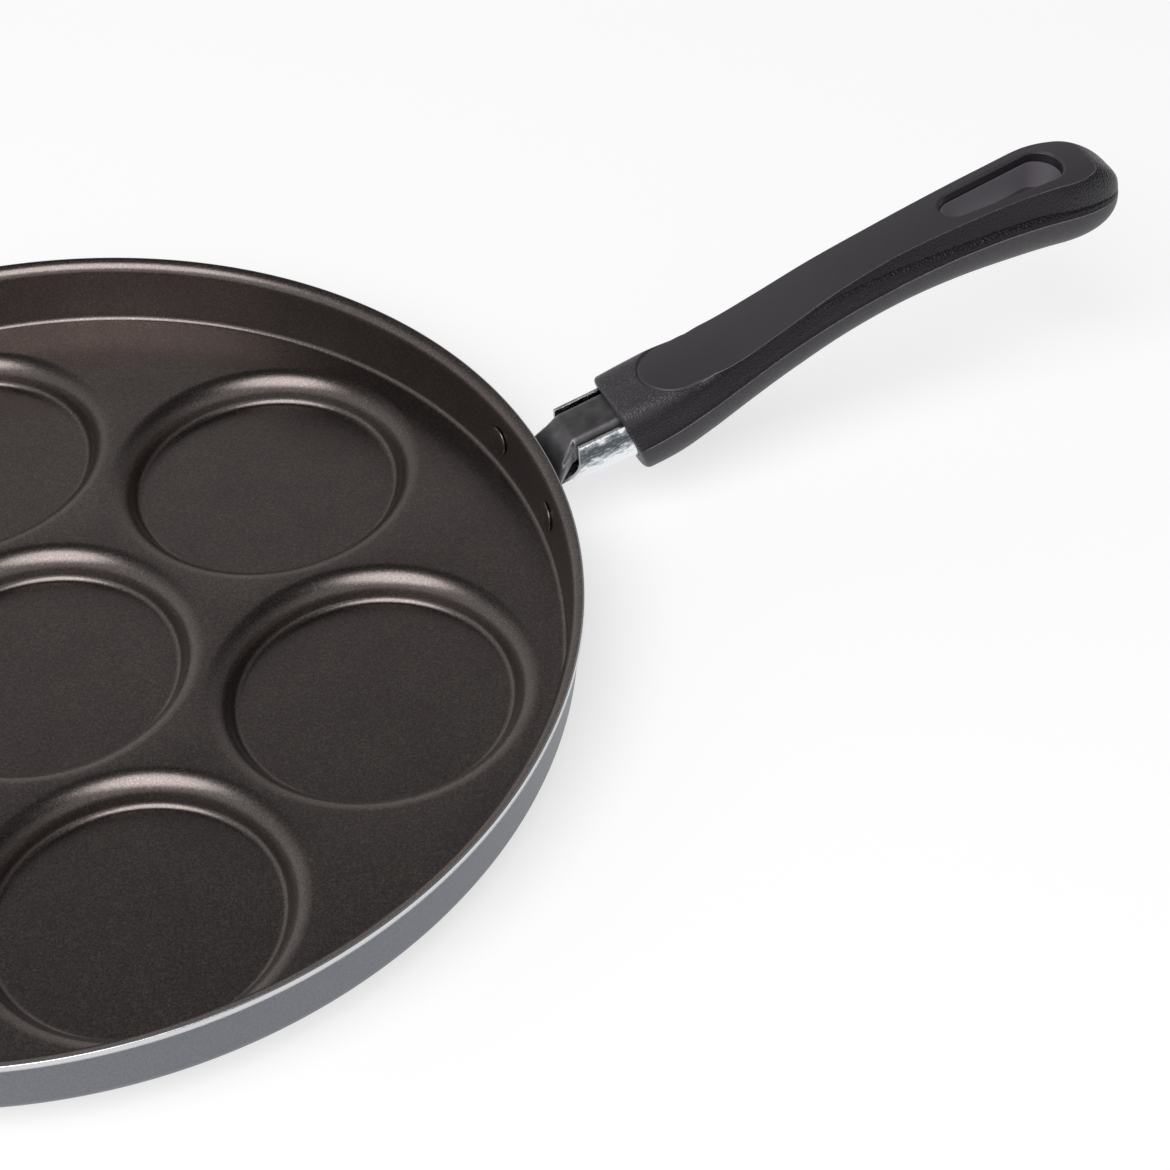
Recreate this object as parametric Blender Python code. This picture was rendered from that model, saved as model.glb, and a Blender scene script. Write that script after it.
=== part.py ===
# Seven-well pancake pan: pressed aluminium pan, riveted steel bracket, flame guard and moulded handle.
# Metres, +Z up. The origin is the pan's centre on the table, and the handle runs along +X.
import bmesh
import bpy
from math import asin, atan2, ceil, cos, pi, radians, sin, sqrt, tan
from mathutils import Matrix, Vector

# Pan
SHEET = 0.0025
WALL_HEIGHT = 0.0181
WALL_DRAFT = radians(5.0)
RIM_OVERHANG = 0.0048
FOOT_FILLET = 0.0027
LIP_ANGLE = radians(21.0)
LIP_BEND = 0.0028
LIP_CORNER = 0.0005

# Wells
WELL_RADIUS = 0.0365
WELL_FLARE = 0.0046
WELL_GAP = 0.0014
WELL_MARGIN = 0.0003
WELL_DEPTH = 0.0068
WELL_SIDE_ANGLE = radians(18.0)
WELL_FILLET = 0.0020
OUTER_WELLS = 6
WELL_TURN = radians(-1.0)

# Rivets
RIVET_SPREAD = 0.0318
RIVET_HEIGHT = 0.0078
RIVET_SHANK = 0.0025
RIVET_HEAD = 0.0038
RIVET_HEAD_THICKNESS = 0.0007
RIVET_TAIL = 0.0042
RIVET_TAIL_THICKNESS = 0.0010

# Handle bracket
STEEL = 0.0018
EAR_HEIGHT = 0.0110
STRAP_WIDTH = 0.0128
STRAP_SLOPE = radians(11.3)
NECK_REACH = 0.0069
NECK_RISE = 0.0024
NECK_ANGLE = radians(55.0)
NECK_BEND = 0.0030
NECK_STEPS = 5
FLANGE_DEPTH = 0.0062
TONGUE_LENGTH = 0.0370
FLANGE_BEND = 0.0024
FLARE_HALF_WIDTH = 0.0110
FLARE_RISE = 0.0048
NOTCH_LENGTH = 0.0034
NOTCH_DEPTH = 0.0026
NOTCH_WIDTH = 0.0012

# Flame guard
GUARD_SHEET = 0.0009
GUARD_HALF_WIDTH = 0.0084
GUARD_HEIGHT = 0.0153
GUARD_DEEPENING = 0.055
GUARD_SETDOWN = 0.0009
GUARD_INSERT = 0.0100
GUARD_FRONT = 0.0060
GUARD_CUT_DEPTH = 0.0100
GUARD_CUT_FALL = 0.0020
GUARD_CUT_BEND = 0.0048

# Handle
COLLAR_REACH = 0.0200
SECTION_LEAN = (radians(21.5), radians(7.5))
COLLAR_START = 0.0032
COLLAR_EDGE = 0.0012
COLLAR_HEEL = 0.0016
COLLAR_CHIN = 0.0010
GROOVE_DEPTH = 0.0006
PANEL_CROWN = 0.0006
SLOT_START = 0.0936
SLOT_END = 0.1283
SLOT_FRONT_RADIUS = 0.0046
SLOT_REAR_RADIUS = 0.0063
SLOT_WALL = 0.0108
POCKET_MARGIN = 0.0012

# Handle screw
SCREW_INSET = 0.0130
SCREW_RADIUS = 0.0020
SCREW_HEAD_RADIUS = 0.0038
SCREW_HEAD_HEIGHT = 0.0024
WASHER_RADIUS = 0.0044
WASHER_THICKNESS = 0.0009
SCREW_COVER = 0.0065

# Fits and smoothness
CLEARANCE = 0.0003
CUT_REACH = 0.0200
RIM_STEPS = 88
WELL_STEPS = 28
BEND_STEPS = 3
WELL_BEND_STEPS = (3, 2)

# Sizes that follow from the ones above: each shoulder clears the next well and the wall's fillet
WELL_EDGE = WELL_RADIUS + WELL_FLARE
WELL_SHOULDER = WELL_FLARE / tan((pi / 2 - WELL_SIDE_ANGLE) / 2)
WELL_PITCH = 2 * WELL_EDGE + WELL_GAP
WELL_REACH = WELL_PITCH + WELL_EDGE + WELL_MARGIN
WALL_FOOT_RADIUS = WELL_REACH + FOOT_FILLET + SHEET
RIM_RADIUS = WALL_FOOT_RADIUS + RIM_OVERHANG
PLATEAU = WELL_DEPTH + SHEET
RIM_TOP = PLATEAU + WALL_HEIGHT
COLLAR_X = RIM_RADIUS + COLLAR_REACH
BEND_X = RIM_RADIUS + NECK_REACH
BEND_Z = RIM_TOP + NECK_RISE
STRAP_TOP = BEND_Z + (COLLAR_X - BEND_X) * tan(STRAP_SLOPE)
SCREW_X = COLLAR_X + TONGUE_LENGTH - SCREW_INSET

# Handle stations, in grip units of a millimetre: distance from the collar's front, height of the
# parting line over the strap, half width, height to the panel, depth to the underside, half panel
GRIP_UNIT = 0.001
STATIONS = (
    (0, -10.0, 10.8, 14.6, 12.2, 9.2),
    (12, -6.3, 11.3, 12.4, 12.8, 9.2),
    (22, -2.4, 11.2, 9.7, 12.1, 9.2),
    (34, 2.6, 10.4, 7.4, 11.4, 8.9),
    (46, 7.5, 9.6, 7.0, 11.1, 8.3),
    (62, 13.1, 9.1, 7.8, 10.3, 7.4),
    (78, 17.6, 9.1, 8.3, 10.2, 7.0),
    (94, 21.1, 9.6, 8.6, 11.1, 7.5),
    (110, 23.2, 10.3, 9.6, 12.2, 8.3),
    (124, 23.6, 10.8, 11.0, 12.4, 9.3),
    (146, 21.6, 10.8, 12.6, 12.4, 9.3),
)
TAIL_START = 124
TAIL_ROUNDING = 2.2
TAIL_CROWN = 2.0
COLLAR_DOME = (13.2, 0.0053)


def clearScene():
    for item in list(bpy.data.objects):
        bpy.data.objects.remove(item, do_unlink=True)


def makeMaterial(name, colour, roughness, metallic):
    material = bpy.data.materials.new(name)
    material.use_nodes = True
    shader = material.node_tree.nodes["Principled BSDF"]
    shader.inputs["Base Color"].default_value = (*colour, 1.0)
    shader.inputs["Roughness"].default_value = roughness
    shader.inputs["Metallic"].default_value = metallic
    material.diffuse_color = (*colour, 1.0)
    return material


def makeObject(name, bm, material=None, smooth=True):
    bmesh.ops.recalc_face_normals(bm, faces=bm.faces)
    mesh = bpy.data.meshes.new(name)
    bm.to_mesh(mesh)
    bm.free()
    if material:
        mesh.materials.append(material)
    if smooth:
        mesh.shade_smooth()
        mesh.set_sharp_from_angle(angle=radians(35.0))
    item = bpy.data.objects.new(name, mesh)
    bpy.context.scene.collection.objects.link(item)
    return item


def makeCutter(item):
    item.hide_render = True
    item.display_type = "WIRE"
    return item


def addBoolean(item, cutter, operation):
    modifier = item.modifiers.new(cutter.name, "BOOLEAN")
    modifier.operation = operation
    modifier.solver = "EXACT"
    modifier.object = cutter


def roundedPath(corners, radii, steps):
    """A path of flat points with each inner corner replaced by an arc."""
    path = [Vector(corners[0])]
    counts = steps if isinstance(steps, tuple) else (steps,) * len(radii)
    turns = zip(corners, corners[1:], corners[2:], radii, counts)
    for before, corner, after, radius, count in turns:
        corner = Vector(corner)
        first = (Vector(before) - corner).normalized()
        second = (Vector(after) - corner).normalized()
        opening = first.angle(second)
        reach = radius / tan(opening / 2)
        middle = corner + (first + second).normalized() * radius / sin(opening / 2)
        start = corner + first * reach - middle
        end = corner + second * reach - middle
        turn = start.angle_signed(end)
        for step in range(count + 1):
            path.append(middle + Matrix.Rotation(-turn * step / count, 2) @ start)
    path.append(Vector(corners[-1]))
    return path


def joinRings(bm, rings, closed=True, capped=True):
    """Skin rings of equal length with quads, and close both ends."""
    loops = [[bm.verts.new(point) for point in ring] for ring in rings]
    count = len(loops[0])
    for lower, upper in zip(loops, loops[1:]):
        for index in range(count if closed else count - 1):
            follow = (index + 1) % count
            bm.faces.new((lower[index], lower[follow], upper[follow], upper[index]))
    if capped:
        bm.faces.new(loops[0])
        bm.faces.new(loops[-1])
    return loops


def smoothTable(rows, position):
    """Cubic through the rows, read at a distance given by their first column."""
    last = len(rows) - 2
    index = next((i for i in range(last + 1) if position <= rows[i + 1][0]), last)
    before = rows[max(index - 1, 0)]
    start = rows[index]
    end = rows[index + 1]
    after = rows[min(index + 2, last + 1)]
    span = end[0] - start[0]
    share = (position - start[0]) / span
    values = []
    for column in range(1, len(start)):
        slopeStart = (end[column] - before[column]) / (end[0] - before[0]) * span
        slopeEnd = (after[column] - start[column]) / (after[0] - start[0]) * span
        values.append(
            start[column] * (2 * share**3 - 3 * share**2 + 1)
            + slopeStart * (share**3 - 2 * share**2 + share)
            + end[column] * (3 * share**2 - 2 * share**3)
            + slopeEnd * (share**3 - share**2)
        )
    return values


def wallRadius(height, offset=0.0):
    """Radius of the wall's inner face, or of a face at an offset outside it."""
    return WALL_FOOT_RADIUS + (height - PLATEAU) * tan(WALL_DRAFT) + offset / cos(WALL_DRAFT)


def lipLevel(radius, offset=0.0):
    """Height of the lip's upper face, or of a face at an offset below it."""
    return RIM_TOP - (RIM_RADIUS - radius) * tan(LIP_ANGLE) - offset / cos(LIP_ANGLE)


def lipCorner(offset):
    """Where the wall's face meets the lip's face, both at one offset."""
    rise = lipLevel(wallRadius(PLATEAU, offset), offset) - PLATEAU
    height = PLATEAU + rise / (1 - tan(LIP_ANGLE) * tan(WALL_DRAFT))
    return (wallRadius(height, offset), height)


def rimProfile():
    """Upper and lower outlines of the wall and lip, each from the plateau outward."""
    foot = FOOT_FILLET + SHEET
    inner = WALL_FOOT_RADIUS - foot
    upper = roundedPath(
        [
            (inner, PLATEAU),
            (wallRadius(PLATEAU), PLATEAU),
            lipCorner(0.0),
            (RIM_RADIUS, lipLevel(RIM_RADIUS)),
        ],
        (FOOT_FILLET, LIP_BEND),
        BEND_STEPS,
    )
    under = PLATEAU - SHEET
    lower = roundedPath(
        [
            (inner, under),
            (wallRadius(under, SHEET), under),
            lipCorner(SHEET),
            (RIM_RADIUS, lipLevel(RIM_RADIUS, SHEET)),
        ],
        (foot, LIP_CORNER),
        BEND_STEPS,
    )
    return upper, lower


def wellProfile(offset):
    """Outline of a well from its shoulder inward, on the upper face or at an offset below it."""
    top = PLATEAU - offset
    shift = offset / cos(WELL_SIDE_ANGLE) - offset * tan(WELL_SIDE_ANGLE)
    mouth = WELL_RADIUS + shift
    floor = mouth - WELL_DEPTH * tan(WELL_SIDE_ANGLE)
    path = roundedPath(
        [(WELL_EDGE + SHEET, top), (mouth, top), (floor, top - WELL_DEPTH), (0.0, top - WELL_DEPTH)],
        (WELL_SHOULDER - offset, WELL_FILLET + offset),
        WELL_BEND_STEPS,
    )
    return path[1:-1]


def turnedRings(profile, steps, centre=(0.0, 0.0)):
    rings = []
    for radius, height in profile:
        angles = [2 * pi * step / steps for step in range(steps)]
        rings.append(
            [(centre[0] + radius * cos(a), centre[1] + radius * sin(a), height) for a in angles]
        )
    return rings


def loopEdges(bm, loop):
    pairs = zip(loop, loop[1:] + loop[:1])
    return [bm.edges.get(pair) or bm.edges.new(pair) for pair in pairs]


def wellCentres():
    centres = [(0.0, 0.0)]
    for index in range(OUTER_WELLS):
        angle = pi / OUTER_WELLS + 2 * pi * index / OUTER_WELLS + WELL_TURN
        centres.append((WELL_PITCH * cos(angle), WELL_PITCH * sin(angle)))
    return centres


def makePan(material):
    """One pressed sheet: a turned wall and lip, and wells let into a flat plateau."""
    bm = bmesh.new()
    edges = {}
    outlines = dict(zip(("upper", "lower"), rimProfile()))
    for side, outline in outlines.items():
        loops = joinRings(bm, turnedRings(outline, RIM_STEPS), capped=False)
        edges[side] = loopEdges(bm, loops[0])
        outlines[side] = loops[-1]
    for index in range(RIM_STEPS):
        follow = (index + 1) % RIM_STEPS
        upper, lower = outlines["upper"], outlines["lower"]
        bm.faces.new((upper[index], upper[follow], lower[follow], lower[index]))
    for centre in wellCentres():
        for side, offset in (("upper", 0.0), ("lower", SHEET)):
            rings = turnedRings(wellProfile(offset), WELL_STEPS, centre)
            loops = joinRings(bm, rings, capped=False)
            bm.faces.new(loops[-1])
            edges[side] += loopEdges(bm, loops[0])
    for side in edges:
        bmesh.ops.triangle_fill(bm, edges=edges[side], use_beauty=True)
    pan = makeObject("pan_body", bm, material)
    for name, turn in rivetTurns():
        hole = turnedSolid(
            "hole_for_" + name,
            [(RIVET_SHANK + CLEARANCE, -2 * SHEET), (RIVET_SHANK + CLEARANCE, 3 * SHEET)],
            rivetFrame(turn),
            24,
        )
        addBoolean(pan, makeCutter(hole), "DIFFERENCE")
    return pan


def turnedSolid(name, profile, frame, steps, material=None):
    """A solid turned about the frame's Z axis from a list of radius and height."""
    bm = bmesh.new()
    joinRings(bm, turnedRings(profile, steps))
    bmesh.ops.transform(bm, matrix=frame, verts=bm.verts)
    return makeObject(name, bm, material)


def rivetTurns():
    turn = asin(RIVET_SPREAD / 2 / wallRadius(PLATEAU + RIVET_HEIGHT))
    return (("rivet_left", turn), ("rivet_right", -turn))


def rivetFrame(turn):
    """Frame on the wall's inner face whose Z axis points out through the wall."""
    height = PLATEAU + RIVET_HEIGHT
    place = Matrix.Rotation(turn, 4, "Z") @ Matrix.Translation((wallRadius(height), 0.0, height))
    return place @ Matrix.Rotation(pi / 2 + WALL_DRAFT, 4, "Y")


def makeRivet(name, turn, material):
    """Flat head inside the pan, shank through wall and ear, and a formed tail outside."""
    seat = -CLEARANCE
    tail = SHEET + STEEL + 2 * CLEARANCE
    top = tail + RIVET_TAIL_THICKNESS
    edge = RIVET_HEAD_THICKNESS / 2
    profile = [
        (RIVET_HEAD - edge, seat - RIVET_HEAD_THICKNESS),
        (RIVET_HEAD, seat - edge),
        (RIVET_HEAD, seat),
        (RIVET_SHANK, seat),
        (RIVET_SHANK, tail),
        (RIVET_TAIL, tail),
        (RIVET_TAIL, tail + RIVET_TAIL_THICKNESS * 0.35),
        (RIVET_TAIL * 0.78, tail + RIVET_TAIL_THICKNESS * 0.8),
        (RIVET_TAIL * 0.4, top),
    ]
    return turnedSolid(name, profile, rivetFrame(turn), 20, material)


def strapPath():
    """Side view of the strap's upper face: up from the ear plate, over the bend, along the tongue."""
    start = wallRadius(PLATEAU + RIVET_HEIGHT, SHEET + CLEARANCE + STEEL / 5)
    fall = (BEND_X - start) * tan(NECK_ANGLE)
    length = COLLAR_X - BEND_X + TONGUE_LENGTH
    return [
        (start, BEND_Z - fall),
        (BEND_X, BEND_Z),
        (BEND_X + length, BEND_Z + length * tan(STRAP_SLOPE)),
    ]


def offsetPath(corners, distance):
    """The same corners moved to the right of the path's direction by a distance."""
    moved = []
    for index, corner in enumerate(corners):
        before = Vector(corners[max(index - 1, 0)])
        here = Vector(corner)
        after = Vector(corners[min(index + 1, len(corners) - 1)])
        first = (here - before).normalized() if index else (after - here).normalized()
        second = (after - here).normalized() if index < len(corners) - 1 else first
        bisector = (first + second).normalized()
        side = Vector((bisector.y, -bisector.x))
        moved.append(here + side * distance / bisector.dot(first))
    return moved


def strapTop(x):
    """Height of the strap's upper face over the tongue's straight run."""
    return BEND_Z + (x - BEND_X) * tan(STRAP_SLOPE)


def legHeight(x):
    """Height of the strap's upper face over the leg between the ear plate and the bend."""
    return BEND_Z - (BEND_X - x) * tan(NECK_ANGLE)


def flareShare(x):
    return min(max((BEND_X - x) / (BEND_X - strapPath()[0][0]), 0.0), 1.0)


def flareHalf(x):
    """Half width of the strap: even along the tongue, wider down the leg."""
    return STRAP_WIDTH / 2 + (FLARE_HALF_WIDTH - STRAP_WIDTH / 2) * flareShare(x) ** 1.25


def levelOn(line, x):
    """Height of a side-view line at a distance along X."""
    runs = list(zip(line, line[1:]))
    start, end = next((run for run in runs if x <= run[1].x), runs[-1])
    return start.y + (end.y - start.y) * (x - start.x) / (end.x - start.x)


def strapRing(x, top, under):
    """Upright section of the strap with its side flanges, from the heights of its two faces."""
    half = flareHalf(x)
    depth = max(FLANGE_DEPTH - FLARE_RISE * flareShare(x), top - under + CLEARANCE)
    inset = min(FLANGE_BEND - STEEL, depth - (top - under) - CLEARANCE / 2)
    middle = half - FLANGE_BEND
    outer = [(half, top - depth)]
    inner = [(half - STEEL, top - depth)]
    for angle in (0, 30, 60, 90):
        rise = 1 - sin(radians(angle))
        across = cos(radians(angle))
        outer.append((middle + FLANGE_BEND * across, top - FLANGE_BEND * rise))
        inner.append((middle + (FLANGE_BEND - STEEL) * across, under - inset * rise))
    ring = [(x, -y, z) for y, z in outer] + [(x, y, z) for y, z in outer[::-1]]
    ring += [(x, y, z) for y, z in inner] + [(x, -y, z) for y, z in inner[::-1]]
    return ring


def makeStrap():
    """The pressed strip with its flanges, flared down the leg to the ear plate."""
    path = strapPath()
    under = offsetPath(path, STEEL)
    under[0] = Vector((path[0][0], path[0][1] - STEEL / cos(NECK_ANGLE)))
    upper = roundedPath(path, (NECK_BEND,), BEND_STEPS)
    lower = roundedPath(under, (NECK_BEND - STEEL,), BEND_STEPS)
    start, bend = upper[0].x, upper[1].x
    places = [start + (bend - start) * step / NECK_STEPS for step in range(NECK_STEPS)]
    places += sorted(point.x for point in upper[1:-1] + lower[2:-1]) + [upper[-1].x]
    bm = bmesh.new()
    rings = [strapRing(x, levelOn(upper, x), levelOn(lower, x)) for x in places]
    loops = joinRings(bm, rings, capped=False)
    for loop in (loops[0], loops[-1]):
        for index in range(len(loop) // 2 - 1):
            bm.faces.new((loop[index], loop[index + 1], loop[-2 - index], loop[-1 - index]))
    return makeObject("strap", bm)


def makeEars():
    """A plate with round ends that lies on the outside of the wall and takes both rivets."""
    middle = PLATEAU + RIVET_HEIGHT
    halfHeight = EAR_HEIGHT / 2
    radius = wallRadius(middle, SHEET)
    halfLength = RIVET_SPREAD / 2 * radius / wallRadius(middle) + halfHeight
    straight = halfLength - halfHeight
    runs = [halfHeight * sin(radians(angle)) for angle in (10, 30, 50, 70, 84)]
    inner = [straight * step / 5 for step in range(6)]
    right = inner + [straight + run for run in runs]
    places = [-place for place in reversed(right[1:])] + right
    rings = []
    for place in places:
        over = max(abs(place) - straight, 0.0)
        reach = sqrt(halfHeight**2 - over**2)
        angle = place / radius
        ring = []
        for height, offset in ((-reach, 0.0), (-reach, STEEL), (reach, STEEL), (reach, 0.0)):
            level = middle + height
            r = wallRadius(level, SHEET + CLEARANCE + offset)
            ring.append((r * cos(angle), r * sin(angle), level))
        rings.append(ring)
    bm = bmesh.new()
    joinRings(bm, rings)
    return makeObject("ears", bm)


def makeNotch(side):
    """A relief cut through the flange's corner, on the leg just below the bend."""
    near = BEND_X + CLEARANCE
    far = BEND_X - NOTCH_LENGTH
    above = BEND_Z + STEEL
    half = STRAP_WIDTH / 2 - NOTCH_WIDTH
    corners = [
        (near, half, above),
        (near, half, BEND_Z - NOTCH_DEPTH),
        (far, flareHalf(far) - NOTCH_WIDTH, legHeight(far) - NOTCH_DEPTH / 3),
        (far, flareHalf(far) - NOTCH_WIDTH, above),
    ]
    inner = [(x, side * y, z) for x, y, z in corners]
    outer = [(x, side * (FLARE_HALF_WIDTH + STEEL), z) for x, y, z in corners]
    bm = bmesh.new()
    joinRings(bm, [inner, outer])
    return makeObject("notch_left" if side > 0 else "notch_right", bm)


def makeBracket(material):
    """One pressing: ears and flanged strap, with the rivet holes and the screw's hole."""
    bracket = makeStrap()
    bracket.name = "handle_bracket"
    bracket.data.materials.append(material)
    addBoolean(bracket, makeCutter(makeEars()), "UNION")
    for piece in (makeNotch(1), makeNotch(-1)):
        addBoolean(bracket, makeCutter(piece), "DIFFERENCE")
    for name, turn in rivetTurns():
        reach = SHEET + CLEARANCE + STEEL
        radius = RIVET_SHANK + CLEARANCE
        profile = [(radius, reach - 2 * STEEL), (radius, reach + 2 * STEEL)]
        hole = turnedSolid("ear_hole_for_" + name, profile, rivetFrame(turn), 24)
        addBoolean(bracket, makeCutter(hole), "DIFFERENCE")
    radius = SCREW_RADIUS + CLEARANCE
    profile = [(radius, -2 * STEEL), (radius, 2 * STEEL)]
    hole = turnedSolid("strap_hole_for_screw", profile, screwFrame(0.0), 24)
    addBoolean(bracket, makeCutter(hole), "DIFFERENCE")
    return bracket


def screwFrame(depth):
    """Frame on the screw's axis, square to the strap, at a depth below the strap's top."""
    place = Matrix.Translation((SCREW_X, 0.0, strapTop(SCREW_X)))
    return place @ Matrix.Rotation(-STRAP_SLOPE, 4, "Y") @ Matrix.Translation((0.0, 0.0, -depth))


def guardRing(x, grow, lift=0.0):
    """Across the guard: from one open top edge down, round the bottom and up again."""
    half = GUARD_HALF_WIDTH + grow
    deepening = (x - RIM_RADIUS) * GUARD_DEEPENING
    drop = GUARD_HEIGHT - GUARD_HALF_WIDTH + deepening
    level = strapTop(x) - GUARD_SETDOWN
    steps = 12
    ring = [(x, -half, level + lift)]
    for step in range(steps + 1):
        angle = pi + pi * step / steps
        ring.append((x, half * cos(angle), level - drop + half * sin(angle)))
    ring.append((x, half, level + lift))
    return ring


def makeGuard(material):
    """A plated steel channel, open on top, cut back in a curve where it meets the bracket."""
    start = wallRadius(PLATEAU + RIVET_HEIGHT, SHEET + 4 * CLEARANCE + STEEL)
    end = COLLAR_X + GUARD_INSERT
    bm = bmesh.new()
    joinRings(bm, [guardRing(x, 0.0) + guardRing(x, -GUARD_SHEET)[::-1] for x in (start, end)])
    guard = makeObject("flame_guard", bm, material)
    above = strapTop(start) + 2 * STEEL
    low = BEND_Z - GUARD_CUT_DEPTH
    edge = roundedPath(
        [
            (start - STEEL, above),
            (start + GUARD_FRONT, above),
            (start + GUARD_FRONT + CLEARANCE, low),
            (start - STEEL, low - GUARD_CUT_FALL),
        ],
        (CLEARANCE, GUARD_CUT_BEND),
        6,
    )
    half = GUARD_HALF_WIDTH * 1.4
    bm = bmesh.new()
    joinRings(bm, [[(x, y, z) for x, z in edge] for y in (-half, half)])
    addBoolean(guard, makeCutter(makeObject("guard_front_cut", bm)), "DIFFERENCE")
    return guard


def stationFrame(distance):
    """Middle point and leaning upward direction of the handle's section at a distance."""
    share = min(max(distance / TAIL_START, 0.0), 1.0)
    lean = SECTION_LEAN[0] + (SECTION_LEAN[1] - SECTION_LEAN[0]) * share
    height = smoothTable(STATIONS, distance)[0]
    middle = Vector((COLLAR_X + distance * GRIP_UNIT, 0.0, STRAP_TOP + height * GRIP_UNIT))
    return middle, Vector((-sin(lean), 0.0, cos(lean)))


def grooveHeight(distance):
    """The side groove leaves the panel's edge behind the collar and sinks toward the tail."""
    share = min(max((distance - 50.0) / 55.0, 0.0), 1.0)
    share = share * share * (3 - 2 * share)
    return 6.6 - 4.4 * share


def blendShare(distance, start, end):
    share = min(max((distance - start) / (end - start), 0.0), 1.0)
    return share * share * (3 - 2 * share)


def superCurve(width, height, power, angle):
    return (width * max(cos(angle), 0.0) ** (2 / power), height * sin(angle) ** (2 / power))


def blendOutlines(first, second, share):
    return [(a[0] + (b[0] - a[0]) * share, a[1] + (b[1] - a[1]) * share) for a, b in zip(first, second)]


def edgeLoss(inset, radius):
    """What a rounded edge takes off at a distance behind the face."""
    left = max(1 - inset / radius, 0.0)
    return radius * (1 - sqrt(1 - min(left, 1.0) ** 2))


def handleSection(distance):
    """Half of the handle's outline at a distance, from the top centre down to the bottom."""
    _, width, top, bottom, panel = smoothTable(STATIONS, distance)
    dome = COLLAR_DOME[0] - COLLAR_DOME[1] * distance**2
    count = 9
    rounded = [superCurve(width, dome, 4.8, radians(90 * i / count)) for i in range(count + 1)]
    groove = min(grooveHeight(distance), top - 1.3)
    side = width - 0.9
    slope = min(max((side - panel) / (top - groove), 0.0), 1.0)
    faceted = [
        (width, 0.0),
        (width - 0.15, groove * 0.45),
        (side + 0.1, groove - 0.35),
        (side, groove),
        (side - slope * 0.4, groove + 0.4),
        ((side + panel) / 2, (top + groove) / 2 + 0.1),
        (panel, top),
        (panel - slope * 1.2, top + TAIL_CROWN * 0.6),
        (panel * 0.5, top + TAIL_CROWN * 0.9),
        (0.0, top + TAIL_CROWN),
    ]
    crown = top + TAIL_CROWN
    capped = [(width * (1 - (h / crown) ** 4.5) ** (1 / 4.5), h) for y, h in faceted]
    upper = blendOutlines(rounded, faceted, blendShare(distance, 20, 46))
    upper = blendOutlines(upper, capped, blendShare(distance, 116, 130))
    groove = GROOVE_DEPTH / GRIP_UNIT * blendShare(distance, 44, 62)
    upper[3] = (upper[3][0] - groove, upper[3][1])
    inset = distance - COLLAR_START / GRIP_UNIT
    slim = 1 - edgeLoss(inset, COLLAR_EDGE / GRIP_UNIT) / width
    upper = [(y * slim, h * slim) for y, h in upper]
    bottom -= edgeLoss(inset, COLLAR_HEEL / GRIP_UNIT)
    lower = [superCurve(width * slim, -bottom, 2.5, radians(15 * i)) for i in range(1, 7)]
    shrink = 1.0
    if distance > TAIL_START:
        share = (distance - TAIL_START) / (STATIONS[-1][0] - TAIL_START)
        shrink = max(1 - share**TAIL_ROUNDING, 0.0002) ** (1 / TAIL_ROUNDING)
    shrink *= GRIP_UNIT
    return [(y * shrink, h * shrink) for y, h in upper[::-1] + lower]


def handleRings():
    tail = STATIONS[-1][0]
    start = COLLAR_START / GRIP_UNIT
    distances = [start, start + 0.35, start + 1.2, start + 3.0]
    distances += [step * 4.0 for step in range(2, int(TAIL_START / 4) + 1)]
    spread = tail - TAIL_START
    distances += [TAIL_START + spread * sin(radians(angle)) for angle in (20, 35, 48, 59, 68, 76, 83, 88)]
    rings = []
    for distance in distances:
        middle, up = stationFrame(distance)
        half = handleSection(distance)
        outline = half + [(-y, h) for y, h in half[-2:0:-1]]
        chin = COLLAR_CHIN * (1 - blendShare(distance, 2, 26)) / half[-1][1] ** 2
        ring = []
        for y, h in outline:
            ring.append(middle + up * h + Vector((-chin * min(h, 0.0) ** 2, y, 0.0)))
        rings.append(ring)
    return rings


def panelPoint(distance):
    """A point of the top panel's centre line."""
    middle, up = stationFrame(distance)
    top = smoothTable(STATIONS, distance)[2]
    return middle + up * top * GRIP_UNIT


def panelCutter():
    """Everything above the crowned top panel."""
    half = CUT_REACH
    tail = panelPoint(TAIL_START)
    rows = [panelPoint(0.0) - Vector((10.0, 0.0, 1.5)) * GRIP_UNIT]
    rows += [panelPoint(step * 4.0) for step in range(int(TAIL_START / 4) + 1)]
    rows += [tail + Vector(step) * GRIP_UNIT for step in ((10.0, 0.0, -0.4), (30.0, 0.0, -3.0))]
    rings = []
    for row in rows:
        ring = []
        for share in (-2.0, -1.0, -0.66, -0.33, 0.0, 0.33, 0.66, 1.0, 2.0):
            crown = PANEL_CROWN * (1 - min(share * share, 1.0)) - PANEL_CROWN / 2
            ring.append((row.x, share * half / 2, row.z + crown))
        ring += [(row.x, half, row.z + CUT_REACH), (row.x, -half, row.z + CUT_REACH)]
        rings.append(ring)
    bm = bmesh.new()
    joinRings(bm, rings)
    return makeCutter(makeObject("panel_cut", bm))


def socketCutter():
    """Room for the guard and the strap together at the handle's front."""
    lift = GUARD_SETDOWN + 2 * CLEARANCE
    ends = (COLLAR_X - GUARD_INSERT, COLLAR_X + GUARD_INSERT + CLEARANCE)
    bm = bmesh.new()
    joinRings(bm, [guardRing(x, CLEARANCE, lift) for x in ends])
    return makeCutter(makeObject("socket", bm))


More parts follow.
